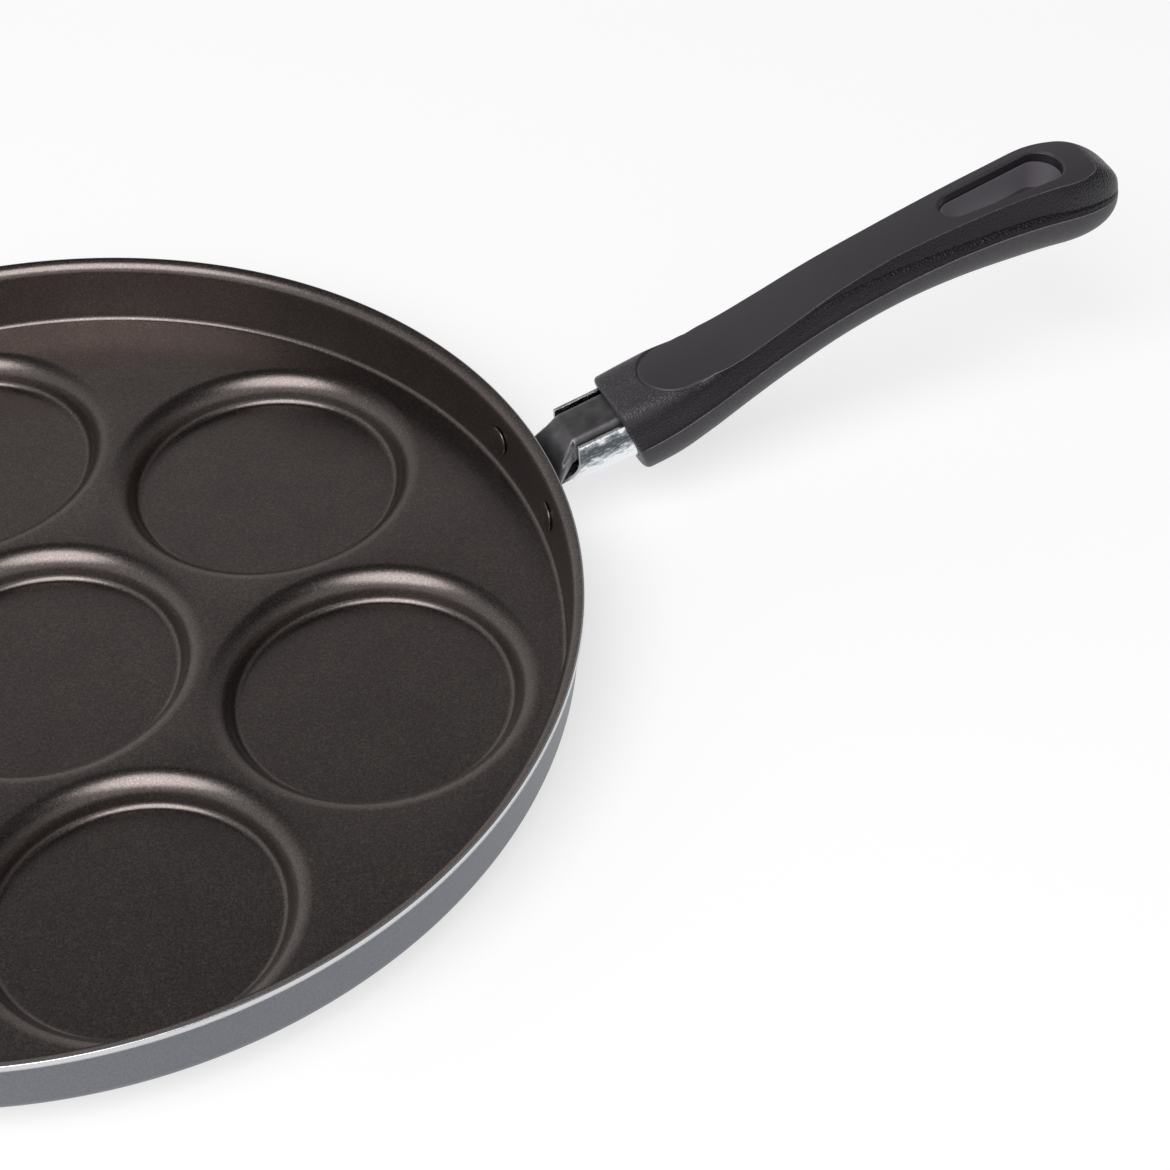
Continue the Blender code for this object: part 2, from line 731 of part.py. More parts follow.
def tongueCutter():
    """Room for the strap with its flanges, deeper in the handle."""
    half = STRAP_WIDTH / 2 + CLEARANCE
    low = FLANGE_DEPTH + 2 * CLEARANCE
    ends = (COLLAR_X - STEEL, COLLAR_X + TONGUE_LENGTH + STEEL * sin(STRAP_SLOPE) + CLEARANCE)
    rings = []
    for x in ends:
        top = strapTop(x) + CLEARANCE
        rings.append([(x, y, top + h) for y, h in ((-half, -low), (half, -low), (half, 0), (-half, 0))])
    bm = bmesh.new()
    joinRings(bm, rings)
    return makeCutter(makeObject("tongue_room", bm))


def slotOutline(margin):
    """Plan of the hanging slot, a taper with two round ends, grown by a margin."""
    front = SLOT_FRONT_RADIUS + margin
    rear = SLOT_REAR_RADIUS + margin
    frontX = COLLAR_X + SLOT_START + SLOT_FRONT_RADIUS
    rearX = COLLAR_X + SLOT_END - SLOT_REAR_RADIUS
    taper = asin((rear - front) / (rearX - frontX))
    steps = 10
    outline = []
    for step in range(steps + 1):
        angle = pi / 2 + taper + (pi - 2 * taper) * step / steps
        outline.append((frontX + front * cos(angle), front * sin(angle)))
    for step in range(steps + 1):
        angle = -pi / 2 - taper + (pi + 2 * taper) * step / steps
        outline.append((rearX + rear * cos(angle), rear * sin(angle)))
    return outline


def slotCutter():
    above = panelPoint(TAIL_START).z + CUT_REACH
    bm = bmesh.new()
    joinRings(bm, [[(x, y, z) for x, y in slotOutline(0.0)] for z in (0.0, above)])
    return makeCutter(makeObject("slot", bm))


def pocketCutter():
    """Hollow under the slot, so that the slot's wall is no thicker than a moulding allows."""
    front = panelPoint(SLOT_START / GRIP_UNIT).z - SLOT_WALL
    rear = panelPoint(SLOT_END / GRIP_UNIT).z - SLOT_WALL
    outline = slotOutline(POCKET_MARGIN)
    start = min(x for x, y in outline)
    end = max(x for x, y in outline)
    bm = bmesh.new()
    lower = [(x, y, 0.0) for x, y in outline]
    upper = [(x, y, front + (rear - front) * (x - start) / (end - start)) for x, y in outline]
    joinRings(bm, [lower, upper])
    return makeCutter(makeObject("pocket", bm))


def screwHoles():
    """Clearance hole up to the strap, and the counterbore that hides the head."""
    hole = [(SCREW_RADIUS + CLEARANCE, -CUT_REACH), (SCREW_RADIUS + CLEARANCE, 0.0)]
    bore = [(WASHER_RADIUS + CLEARANCE, -CUT_REACH), (WASHER_RADIUS + CLEARANCE, -SCREW_COVER)]
    under = screwFrame(FLANGE_DEPTH)
    cutters = (turnedSolid("screw_hole", hole, under, 20), turnedSolid("screw_bore", bore, under, 24))
    return [makeCutter(cutter) for cutter in cutters]


def makeHandle(material):
    """One moulding: collar, waist and tail, with the panel cut, the slot and the socket."""
    bm = bmesh.new()
    joinRings(bm, handleRings())
    handle = makeObject("handle_grip", bm, material)
    cutters = [panelCutter(), socketCutter(), tongueCutter(), slotCutter(), pocketCutter()]
    for cutter in cutters + screwHoles():
        addBoolean(handle, cutter, "DIFFERENCE")
    return handle


def makeScrew(material, washerMaterial):
    """Pan-head screw from below into the strap, with its washer under the head."""
    seat = SCREW_COVER + CLEARANCE
    washerEnd = seat + WASHER_THICKNESS
    head = washerEnd + CLEARANCE
    end = FLANGE_DEPTH - CLEARANCE / 3
    under = screwFrame(FLANGE_DEPTH)
    profile = [
        (SCREW_HEAD_RADIUS * 0.55, -head - SCREW_HEAD_HEIGHT),
        (SCREW_HEAD_RADIUS * 0.85, -head - SCREW_HEAD_HEIGHT * 0.8),
        (SCREW_HEAD_RADIUS, -head - SCREW_HEAD_HEIGHT * 0.4),
        (SCREW_HEAD_RADIUS, -head),
        (SCREW_RADIUS, -head),
        (SCREW_RADIUS, end - SCREW_RADIUS / 3),
        (SCREW_RADIUS * 0.7, end),
    ]
    screw = turnedSolid("handle_screw", profile, under, 20, material)
    bm = bmesh.new()
    loops = []
    for radius in (WASHER_RADIUS, SCREW_RADIUS + CLEARANCE):
        for height in (-washerEnd, -seat):
            loops.append(turnedRings([(radius, height)], 20)[0])
    order = [loops[0], loops[1], loops[3], loops[2], loops[0]]
    rings = [[bm.verts.new(point) for point in ring] for ring in order[:-1]]
    rings.append(rings[0])
    for first, second in zip(rings, rings[1:]):
        for index in range(20):
            follow = (index + 1) % 20
            bm.faces.new((first[index], first[follow], second[follow], second[index]))
    bmesh.ops.transform(bm, matrix=under, verts=bm.verts)
    washer = makeObject("screw_washer", bm, washerMaterial)
    return screw, washer


def main():
    clearScene()
    coated = makeMaterial("non_stick_coated_aluminium", (0.050, 0.042, 0.037), 0.42, 0.55)
    rivetMetal = makeMaterial("coated_rivet_aluminium", (0.085, 0.078, 0.070), 0.38, 0.6)
    blackened = makeMaterial("dark_plated_steel", (0.110, 0.105, 0.110), 0.28, 0.9)
    plated = makeMaterial("bright_zinc_plated_steel", (0.780, 0.800, 0.820), 0.18, 1.0)
    phenolic = makeMaterial("charcoal_phenolic", (0.050, 0.048, 0.050), 0.50, 0.0)
    screwSteel = makeMaterial("zinc_plated_screw_steel", (0.620, 0.620, 0.600), 0.30, 1.0)
    makePan(coated)
    for name, turn in rivetTurns():
        makeRivet(name, turn, rivetMetal)
    makeBracket(blackened)
    makeGuard(plated)
    makeHandle(phenolic)
    makeScrew(screwSteel, screwSteel)


main()
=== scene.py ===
# Seven-well pancake pan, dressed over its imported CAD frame. Metres, +Z up, handle along +X.
from functools import partial
from math import asin, cos, pi, radians, sin, sqrt, tan

import bmesh
import bpy
import numpy as np
from mathutils import Matrix, Vector
from mathutils.kdtree import KDTree


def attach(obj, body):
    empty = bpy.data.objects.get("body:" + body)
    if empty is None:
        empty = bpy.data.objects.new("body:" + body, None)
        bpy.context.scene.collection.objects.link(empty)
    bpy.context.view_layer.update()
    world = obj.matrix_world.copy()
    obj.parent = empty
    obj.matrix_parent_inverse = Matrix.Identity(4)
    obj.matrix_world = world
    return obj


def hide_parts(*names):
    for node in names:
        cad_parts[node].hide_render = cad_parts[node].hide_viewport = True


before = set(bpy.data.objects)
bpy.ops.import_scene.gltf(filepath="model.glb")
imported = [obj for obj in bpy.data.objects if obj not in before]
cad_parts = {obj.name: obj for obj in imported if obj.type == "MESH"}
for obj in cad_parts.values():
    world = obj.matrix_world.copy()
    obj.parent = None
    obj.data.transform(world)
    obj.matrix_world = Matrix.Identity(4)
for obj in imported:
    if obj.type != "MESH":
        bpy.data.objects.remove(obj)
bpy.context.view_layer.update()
scene = bpy.context.scene
mm = 0.001
print("frame loaded:", len(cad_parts), "nodes")


def linear(code):  # sRGB hex to the linear colour that Blender works in
    parts = [int(code[i : i + 2], 16) / 255 for i in (0, 2, 4)]
    return [c / 12.92 if c <= 0.04045 else ((c + 0.055) / 1.055) ** 2.4 for c in parts] + [1.0]


def feed(node, links):  # a node as source stands for its first output
    for name, source in links.items():
        socket = source.outputs[0] if isinstance(source, bpy.types.Node) else source
        node.id_data.links.new(socket, node.inputs[name])


def addNode(tree, kind, settings, links):  # one node, its settings and what feeds it
    node = tree.nodes.new("ShaderNode" + kind)
    for name, value in settings.items():
        if name == "stops":
            ramp = node.color_ramp.elements
            while len(ramp) < len(value):
                ramp.new(1.0)
            for stop, (position, code) in zip(ramp, value):
                stop.position = position
                stop.color = linear(code)
        elif isinstance(name, int) or name in node.inputs:
            node.inputs[name].default_value = value
        else:
            setattr(node, name, value)
    feed(node, links)
    return node


def newMaterial(name, colour, roughness, metallic):
    material = bpy.data.materials.new(name)
    material.use_nodes = True
    shader = material.node_tree.nodes["Principled BSDF"]
    shader.inputs["Base Color"].default_value = linear(colour)
    shader.inputs["Roughness"].default_value = roughness
    shader.inputs["Metallic"].default_value = metallic
    add = partial(addNode, material.node_tree)
    where = {"Vector": add("TexCoord", {}, {}).outputs["Object"]}
    return material, shader, add, where


def grainMaterial(
    name, colour, roughness, metallic, grain, relief, stops=None, sheen=None, stretch=None
):  # one noise raises the relief and, where they are given, drives the colour and the roughness
    material, shader, add, where = newMaterial(name, colour, roughness, metallic)
    if stretch:
        where = {"Vector": add("Mapping", {"Scale": stretch}, where)}
    noise = add("TexNoise", grain, where)
    feed(shader, {"Normal": add("Bump", relief, {"Height": noise})})
    if stops:
        feed(shader, {"Base Color": add("ValToRGB", {"stops": stops}, {"Fac": noise})})
    if sheen:
        feed(shader, {"Roughness": add("MapRange", sheen, {"Value": noise})})
    return material


def roundedPath(corners, radii, steps):  # flat corners joined by straight runs and arcs
    path = [Vector(corners[0])]
    for before, corner, after, radius in zip(corners, corners[1:], corners[2:], radii):
        corner = Vector(corner)
        first = (Vector(before) - corner).normalized()
        second = (Vector(after) - corner).normalized()
        opening = first.angle(second)
        reach = radius / tan(opening / 2)
        middle = corner + (first + second).normalized() * radius / sin(opening / 2)
        start = corner + first * reach - middle
        end = corner + second * reach - middle
        turn = start.angle_signed(end)
        for step in range(steps + 1):
            path.append(middle + Matrix.Rotation(-turn * step / steps, 2) @ start)
    path.append(Vector(corners[-1]))
    return path


def turned(profile, steps, centre=(0.0, 0.0)):  # rings of a profile of radius and height
    angles = [2 * pi * step / steps for step in range(steps)]
    return [[(centre[0] + r * cos(a), centre[1] + r * sin(a), z) for a in angles] for r, z in profile]


def skin(bm, rings, caps=(), slot=0):  # quads between rings of one length, and end caps
    loops = [[bm.verts.new(point) for point in ring] for ring in rings]
    for lower, upper in zip(loops, loops[1:]):
        for index in range(len(lower)):
            follow = (index + 1) % len(lower)
            face = bm.faces.new((lower[index], lower[follow], upper[follow], upper[index]))
            face.material_index = slot
    for end in caps:
        bm.faces.new(loops[end]).material_index = slot
    return loops


def closeSheet(bm, loops, slot=0):  # quads across both open ends of a folded sheet
    for loop in (loops[0], loops[-1]):
        for index in range(len(loop) // 2 - 1):
            face = bm.faces.new((loop[index], loop[index + 1], loop[-2 - index], loop[-1 - index]))
            face.material_index = slot


def addObject(name, data):
    added = bpy.data.objects.new(name, data)
    scene.collection.objects.link(added)
    return added


def meshPiece(name, bm, materials=(), sharp=40.0):
    bmesh.ops.recalc_face_normals(bm, faces=bm.faces)
    mesh = bpy.data.meshes.new(name)
    bm.to_mesh(mesh)
    bm.free()
    for material in materials:
        mesh.materials.append(material)
    mesh.shade_smooth()
    mesh.set_sharp_from_angle(angle=radians(sharp))
    return addObject(name, mesh)


def solid(name, rings, move=None, materials=(), sharp=40.0):  # closed body from its rings
    bm = bmesh.new()
    skin(bm, rings, caps=(0, -1))
    if move:
        bmesh.ops.transform(bm, matrix=move, verts=bm.verts)
    return meshPiece(name, bm, materials, sharp)


def cut(piece, tool, operation="DIFFERENCE"):  # exact boolean, applied at once
    modifier = piece.modifiers.new("cut", "BOOLEAN")
    modifier.operation = operation
    modifier.solver = "EXACT"
    modifier.object = tool
    applyAll(piece)
    bpy.data.objects.remove(tool, do_unlink=True)


def edgeRound(piece, width, segments=2, angle=35.0):  # small rounded edges on pressed or cut parts
    modifier = piece.modifiers.new("edge", "BEVEL")
    modifier.width = width
    modifier.segments = segments
    modifier.limit_method = "ANGLE"
    modifier.angle_limit = radians(angle)
    modifier.harden_normals = True
    applyAll(piece)


def applyAll(piece):
    depsgraph = bpy.context.evaluated_depsgraph_get()
    depsgraph.update()
    baked = bpy.data.meshes.new_from_object(piece.evaluated_get(depsgraph), depsgraph=depsgraph)
    piece.modifiers.clear()
    piece.data = baked


def place(piece, node):
    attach(piece, "root")
    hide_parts(node)


# floor, light and camera
studio = {
    "floor": "a8a8a8",
    "floorGlow": 0.66,
    "floorSize": 4.0,
    "sky": [
        (0.0, "e8e8e8"), (0.35, "cacaca"), (0.60, "b8b8b8"), (0.70, "a3a3a3"),
        (0.755, "707070"), (0.80, "3c3c3c"), (1.0, "343434"),
    ],
    "flag": {"From Min": 0.25, "From Max": 0.80, "To Min": 1.02, "To Max": 0.40},
    "keyPlace": (-0.57, -0.62, 1.42),
    "keySize": 1.50,
    "keyPower": 23.0,
    "aim": (0.05, 0.0, 0.02),
    "eye": (-0.05251, -0.49034, 0.50116),
    "right": (0.9142, -0.4041, -0.0319),
    "down": (-0.3069, -0.6385, -0.7057),
    "lens": 85.44,
    "nearest": 0.01,
}


def makeFloor():
    # opal acrylic light table: white diffuse sheet lit from below, which keeps the shadows pale
    grain, relief = {"Scale": 900.0, "Detail": 2.0}, {"Strength": 0.02, "Distance": 0.0001}
    material = grainMaterial("opal_acrylic_light_table", studio["floor"], 0.85, 0.0, grain, relief)
    inputs = material.node_tree.nodes["Principled BSDF"].inputs
    inputs["Emission Color"].default_value = linear("ffffff")
    inputs["Emission Strength"].default_value = studio["floorGlow"]
    bm = bmesh.new()
    bmesh.ops.create_grid(bm, x_segments=8, y_segments=8, size=studio["floorSize"])
    floor = meshPiece("floor", bm, [material])


def makeKeyLight():  # one large softbox, high on the left
    light = bpy.data.lights.new("key_softbox", "AREA")
    light.shape = "DISK"
    light.size = studio["keySize"]
    light.energy = studio["keyPower"]
    lamp = addObject("key_softbox", light)
    lamp.location = studio["keyPlace"]
    aim = Vector(studio["aim"]) - lamp.location
    lamp.rotation_euler = aim.to_track_quat("-Z", "Y").to_euler()


def makeSky():  # white tent, dimmer toward its top and behind a grey flag on the handle's side
    world = bpy.data.worlds.new("studio")
    world.use_nodes = True
    tree = world.node_tree
    add = partial(addNode, tree)
    axes = add("SeparateXYZ", {}, {"Vector": add("TexCoord", {}, {})})
    tent = add("ValToRGB", {"stops": studio["sky"]}, {"Fac": axes.outputs["Z"]})
    flag = add("MapRange", studio["flag"], {"Value": axes.outputs["X"]})
    feed(tree.nodes["Background"], {"Strength": flag, "Color": tent})
    scene.world = world


def makeStudio():
    makeFloor()
    makeSky()
    makeKeyLight()
    camera = bpy.data.cameras.new("camera")
    camera.lens = studio["lens"]
    camera.clip_start = studio["nearest"]
    eye = addObject("camera", camera)
    across = Vector(studio["right"]).normalized()
    up = -Vector(studio["down"])
    up = (up - across * up.dot(across)).normalized()
    turn = Matrix((across, up, across.cross(up))).transposed().to_4x4()
    eye.matrix_world = Matrix.Translation(studio["eye"]) @ turn
    scene.camera = eye


makeStudio()
scene.view_settings.view_transform = "Standard"
print("studio ready")

# pan: one pressed sheet with seven wells
pan = {
    "sheet": 2.5 * mm,
    "wallHeight": 18.1 * mm,
    "wallDraft": radians(5.0),
    "footFillet": 2.7 * mm,
    "footBend": 1.5 * mm,
    "overhang": 4.8 * mm,
    "lipAngle": radians(21.0),
    "lipBend": 3.3 * mm,
    "lipUnderBend": 0.5 * mm,
    "wellRadius": 36.5 * mm,
    "wellFlare": 4.6 * mm,
    "wellDepth": 6.8 * mm,
    "wellSide": radians(18.0),
    "wellFillet": 2.0 * mm,
    "wellGap": 1.4 * mm,
    "wellMargin": 0.3 * mm,
    "wellTurn": radians(-1.0),
    "edgeBreak": 0.3 * mm,
    "bareStrip": 1.85 * mm,
    "paintStep": 0.12 * mm,
    "floorRing": 0.4 * mm,
    "plateauRing": 0.3 * mm,
    "rimSteps": 432,
    "wellSteps": 144,
}
plateau = pan["wellDepth"] + pan["sheet"]
wellEdge = pan["wellRadius"] + pan["wellFlare"]
shoulder = pan["wellFlare"] / tan((pi / 2 - pan["wellSide"]) / 2)
wellPitch = 2 * wellEdge + pan["wellGap"]
wellReach = wellPitch + wellEdge + pan["wellMargin"]
wallFoot = wellReach + pan["footFillet"] + pan["sheet"]
rimRadius = wallFoot + pan["overhang"]
rimTop = plateau + pan["wallHeight"]


def wallRadius(height, offset=0.0):
    return wallFoot + (height - plateau) * tan(pan["wallDraft"]) + offset / cos(pan["wallDraft"])


def lipLevel(radius, offset=0.0):
    return rimTop - (rimRadius - radius) * tan(pan["lipAngle"]) - offset / cos(pan["lipAngle"])


def lipCorner(offset):
    rise = lipLevel(wallRadius(plateau, offset), offset) - plateau
    height = plateau + rise / (1 - tan(pan["lipAngle"]) * tan(pan["wallDraft"]))
    return (wallRadius(height, offset), height)


def wellProfile(offset):  # two rings near the middle keep the shading of the well's floor flat
    side, depth, top = pan["wellSide"], pan["wellDepth"], plateau - offset
    mouth = pan["wellRadius"] + (offset / cos(side) - offset * tan(side))
    corners = [(wellEdge + pan["sheet"], top), (mouth, top)]
    corners += [(mouth - depth * tan(side), top - depth), (0.0, top - depth)]
    path = roundedPath(corners, (shoulder - offset, pan["wellFillet"] + offset), 12)[1:-1]
    last = path[-1]
    return path + [Vector((last.x - pan["floorRing"], last.y)), Vector((last.x * 0.6, last.y))]


def rimOutline():  # from the plateau out over the lip, round the bare edge and back underneath
    sheet, edge = pan["sheet"], pan["edgeBreak"]
    under = plateau - sheet
    upper = [(wellReach, plateau), (wallRadius(plateau), plateau)]
    upper += [lipCorner(0.0), (rimRadius, lipLevel(rimRadius))]
    upper = roundedPath(upper, (pan["footBend"], pan["lipBend"]), 9)
    lower = [(wellReach, under), (wallRadius(under, sheet), under)]
    lower += [lipCorner(sheet), (rimRadius, lipLevel(rimRadius, sheet))]
    lower = roundedPath(lower, (pan["footFillet"] + sheet, pan["lipUnderBend"]), 9)
    back = Vector((cos(pan["lipAngle"]), sin(pan["lipAngle"]))) * 4 * edge
    strip = Vector((rimRadius, upper[-1].y - pan["bareStrip"]))
    step = Vector((rimRadius - pan["paintStep"], strip.y - pan["paintStep"]))
    bare = roundedPath([upper[-1] - back, upper[-1], strip], (edge,), 4)
    corner = Vector((step.x, lower[-1].y))
    painted = roundedPath([step, corner, lower[-1] - back], (edge,), 4)
    return upper[:-1], bare, painted + lower[:-1][::-1]


def makePan(materials):
    bm = bmesh.new()
    upper, bare, lower = rimOutline()
    upper.insert(1, Vector((upper[0].x + pan["plateauRing"], upper[0].y)))
    lower.insert(-1, Vector((lower[-1].x + pan["plateauRing"], lower[-1].y)))
    loops = skin(bm, turned(upper + bare + lower, pan["rimSteps"]))
    for index, face in enumerate(bm.faces):  # coating, then the bare strip, then paint
        level = index // pan["rimSteps"] - len(upper)
        face.material_index = 0 if level < 1 else (1 if level < len(bare) - 1 else 2)
    turns = [pi / 6 + index * pi / 3 + pan["wellTurn"] for index in range(6)]
    centres = [(0.0, 0.0)] + [(wellPitch * cos(turn), wellPitch * sin(turn)) for turn in turns]
    for slot, offset, rim in ((0, 0.0, loops[0]), (2, pan["sheet"], loops[-1])):
        holes = [rim]
        for centre in centres:
            rings = turned(wellProfile(offset), pan["wellSteps"], centre)
            holes.append(skin(bm, rings, caps=(-1,), slot=slot)[0])
        pairs = [pair for hole in holes for pair in zip(hole, hole[1:] + hole[:1])]
        edges = [bm.edges.get(pair) or bm.edges.new(pair) for pair in pairs]
        made = bmesh.ops.triangle_fill(bm, edges=edges, use_beauty=True)
        for item in made["geom"]:
            if isinstance(item, bmesh.types.BMFace):
                item.material_index = slot
    piece = meshPiece("pan_shell", bm, materials, sharp=60.0)
    place(piece, "pan_body")


def coatingMaterial():
    # Sprayed non-stick coating with mineral flakes on aluminium: dark warm brown-black, broad soft
    # champagne highlights, and a fine even speckle. Flakes are about 0.2 mm, drawn at 0.45 mm to show.
    material, shader, add, where = newMaterial("non_stick_coating_sprayed", "665e5b", 0.30, 1.0)
    flakes = add("TexNoise", {"Scale": 2200.0, "Detail": 3.0, "Roughness": 0.7}, where)
    drift = add("TexNoise", {"Scale": 60.0, "Detail": 2.0}, where)
    both = add("Math", {"operation": "MULTIPLY_ADD", 1: 0.12}, {0: drift, 2: flakes})
    stops = [(0.30, "5b5452"), (0.58, "6f6765"), (0.85, "968e86")]
    tint = add("ValToRGB", {"stops": stops}, {"Fac": both})
    sheen = {"From Min": 0.3, "From Max": 0.7, "To Min": 0.26, "To Max": 0.34}
    rough = add("MapRange", sheen, {"Value": flakes})
    peel = add("TexNoise", {"Scale": 1100.0, "Detail": 2.0}, where)
    bump = add("Bump", {"Strength": 0.10, "Distance": 0.00005}, {"Height": peel})
    feed(shader, {"Base Color": tint, "Roughness": rough, "Normal": bump})
    return material


# Heat-proof silver paint, sprayed: satin blue-grey, even all round. Its flakes are about 0.2 mm,
# drawn at 0.5 mm so that they show.
outerPaint = grainMaterial(
    "silver_heatproof_paint_sprayed", "6c6e75", 0.42, 0.80,
    grain={"Scale": 1900.0, "Detail": 3.0, "Roughness": 0.7},
    relief={"Strength": 0.08, "Distance": 0.00005},
    stops=[(0.35, "64666c"), (0.65, "75777e")],
)
# Bare aluminium, turned after coating: near white and bright, with fine lathe lines round the edge.
turnedEdge = grainMaterial(
    "turned_bare_aluminium", "cfd0d2", 0.24, 1.0,
    grain={"Scale": 90.0, "Detail": 3.0},
    relief={"Strength": 0.2, "Distance": 0.00003},
    sheen={"From Min": 0.3, "From Max": 0.7, "To Min": 0.16, "To Max": 0.34},
    stretch=(1.0, 1.0, 60.0),
)
makePan([coatingMaterial(), turnedEdge, outerPaint])
print("pan made")

# rivets: flat coated heads inside the pan, formed tails outside
rivet = {
    "spread": 31.8 * mm,
    "height": 7.8 * mm,
    "shank": 2.5 * mm,
    "head": 3.8 * mm,
    "headThick": 0.7 * mm,
    "headPole": 0.4 * mm,
    "headFlat": 2.6 * mm,
    "headBend": 0.34 * mm,
    "tail": 4.2 * mm,
    "tailThick": 1.0 * mm,
    "land": 0.1 * mm,
}
steel = 1.8 * mm  # sheet of the bracket
gap = 0.3 * mm  # clearance between pieces


def rivetFrame(side):
    height = plateau + rivet["height"]
    turn = side * asin(rivet["spread"] / 2 / wallRadius(height))
    spot = Matrix.Rotation(turn, 4, "Z") @ Matrix.Translation((wallRadius(height), 0.0, height))
    return spot @ Matrix.Rotation(pi / 2 + pan["wallDraft"], 4, "Y")


def makeRivet(node, side, material):
    seat, tail = -gap, pan["sheet"] + steel + 2 * gap
    thick, land = rivet["headThick"], rivet["land"]
    head, bend, wide = rivet["head"], rivet["headBend"], rivet["tail"]
    top = tail + rivet["tailThick"]
    profile = [(rivet["headPole"], seat - thick), (rivet["headFlat"], seat - thick * 0.97)]
    for angle in map(radians, (0, 25, 50, 75)):
        profile.append((head - bend * (1 - sin(angle)), seat - bend * cos(angle) - land))
    profile += [(head, seat - land), (head - land / 2, seat), (rivet["shank"], seat)]
    profile += [(rivet["shank"], tail), (wide - land, tail), (wide, tail + land)]
    for angle in map(radians, (15, 30, 45, 60, 75, 86)):
        profile.append((wide * cos(angle), tail + land + (top - tail - land) * sin(angle)))
    piece = solid(node + "_turned", turned(profile, 64), rivetFrame(side), [material], 50.0)
    place(piece, node)


# Aluminium rivet coated with the pan: the same dark film, a little thinner and shinier on its head.
rivetFinish = grainMaterial(
    "coated_rivet_aluminium", "6a6260", 0.32, 1.0,
    grain={"Scale": 2400.0, "Detail": 3.0},
    relief={"Strength": 0.15, "Distance": 0.00005},
    stops=[(0.35, "5b5351"), (0.7, "857b74")],
)
makeRivet("rivet_left", 1, rivetFinish)
makeRivet("rivet_right", -1, rivetFinish)
print("rivets made")

# handle bracket: one steel pressing
bracket = {
    "earHeight": 11.0 * mm,
    "strapWidth": 12.8 * mm,
    "slope": radians(11.3),
    "neckReach": 6.9 * mm,
    "neckRise": 2.4 * mm,
    "neckAngle": radians(55.0),
    "neckBend": 3.0 * mm,
    "flangeDepth": 6.2 * mm,
    "flangeBend": 2.4 * mm,
    "tongue": 37.0 * mm,
    "flareHalf": 11.0 * mm,
    "flareRise": 4.8 * mm,
    "flarePower": 1.25,
    "notchLength": 3.4 * mm,
    "notchDepth": 2.6 * mm,
    "notchWidth": 1.2 * mm,
    "collarReach": 20.0 * mm,
    "screwInset": 13.0 * mm,
    "screwHole": 2.3 * mm,
    "edgeRound": 0.25 * mm,
}
bendX = rimRadius + bracket["neckReach"]
bendZ = rimTop + bracket["neckRise"]
collarX = rimRadius + bracket["collarReach"]
screwX = collarX + bracket["tongue"] - bracket["screwInset"]


def strapTop(x):
    return bendZ + (x - bendX) * tan(bracket["slope"])


def strapPath():  # side view of the upper face, from inside the ear plate over the bend to the end
    start = wallRadius(plateau + rivet["height"], pan["sheet"] + gap + steel / 5)
    length = collarX - bendX + bracket["tongue"]
    end = (bendX + length, bendZ + length * tan(bracket["slope"]))
    return [(start, bendZ - (bendX - start) * tan(bracket["neckAngle"])), (bendX, bendZ), end]


def flareShare(x):
    return min(max((bendX - x) / (bendX - strapPath()[0][0]), 0.0), 1.0)


def flareHalf(x):  # even along the tongue, wider down the leg
    half = bracket["strapWidth"] / 2
    return half + (bracket["flareHalf"] - half) * flareShare(x) ** bracket["flarePower"]


def levelOn(line, x):
    runs = list(zip(line, line[1:]))
    start, end = next((run for run in runs if x <= run[1].x), runs[-1])
    return start.y + (end.y - start.y) * (x - start.x) / (end.x - start.x)


def strapRing(x, top, under):  # upright section with both side flanges
    half, bend = flareHalf(x), bracket["flangeBend"]
    depth = max(bracket["flangeDepth"] - bracket["flareRise"] * flareShare(x), top - under + gap)
    inset = min(bend - steel, depth - (top - under) - gap / 2)
    outer, inner = [(half, top - depth)], [(half - steel, top - depth)]
    for angle in range(0, 91, 10):
        rise, across = 1 - sin(radians(angle)), cos(radians(angle))
        outer.append((half - bend + bend * across, top - bend * rise))
        inner.append((half - bend + (bend - steel) * across, under - inset * rise))
    ring = [(x, -y, z) for y, z in outer] + [(x, y, z) for y, z in outer[::-1]]
    return ring + [(x, y, z) for y, z in inner] + [(x, -y, z) for y, z in inner[::-1]]


def makeStrap():
    path = strapPath()
    under = [(path[0][0], path[0][1] - steel / cos(bracket["neckAngle"]))]
    corner, end = Vector(path[1]), Vector(path[2])
    leg, run = (corner - Vector(path[0])).normalized(), (end - corner).normalized()
    for here, before in ((corner, leg), (end, run)):
        middle = (before + run).normalized()
        under.append(here + Vector((middle.y, -middle.x)) * steel / middle.dot(before))
    upper = roundedPath(path, (bracket["neckBend"],), 10)
    lower = roundedPath(under, (bracket["neckBend"] - steel,), 6)
    start, bend, end = upper[0].x, upper[1].x, upper[-1].x
    places = [start + (bend - start) * step / 24 for step in range(24)]
    places += sorted(point.x for point in upper[1:-1] + lower[4:-1])
    places += [places[-1] + (end - places[-1]) * step / 20 for step in range(1, 21)]
    bm = bmesh.new()
    loops = skin(bm, [strapRing(x, levelOn(upper, x), levelOn(lower, x)) for x in places])
    closeSheet(bm, loops)
    return meshPiece("handle_bracket_pressing", bm)


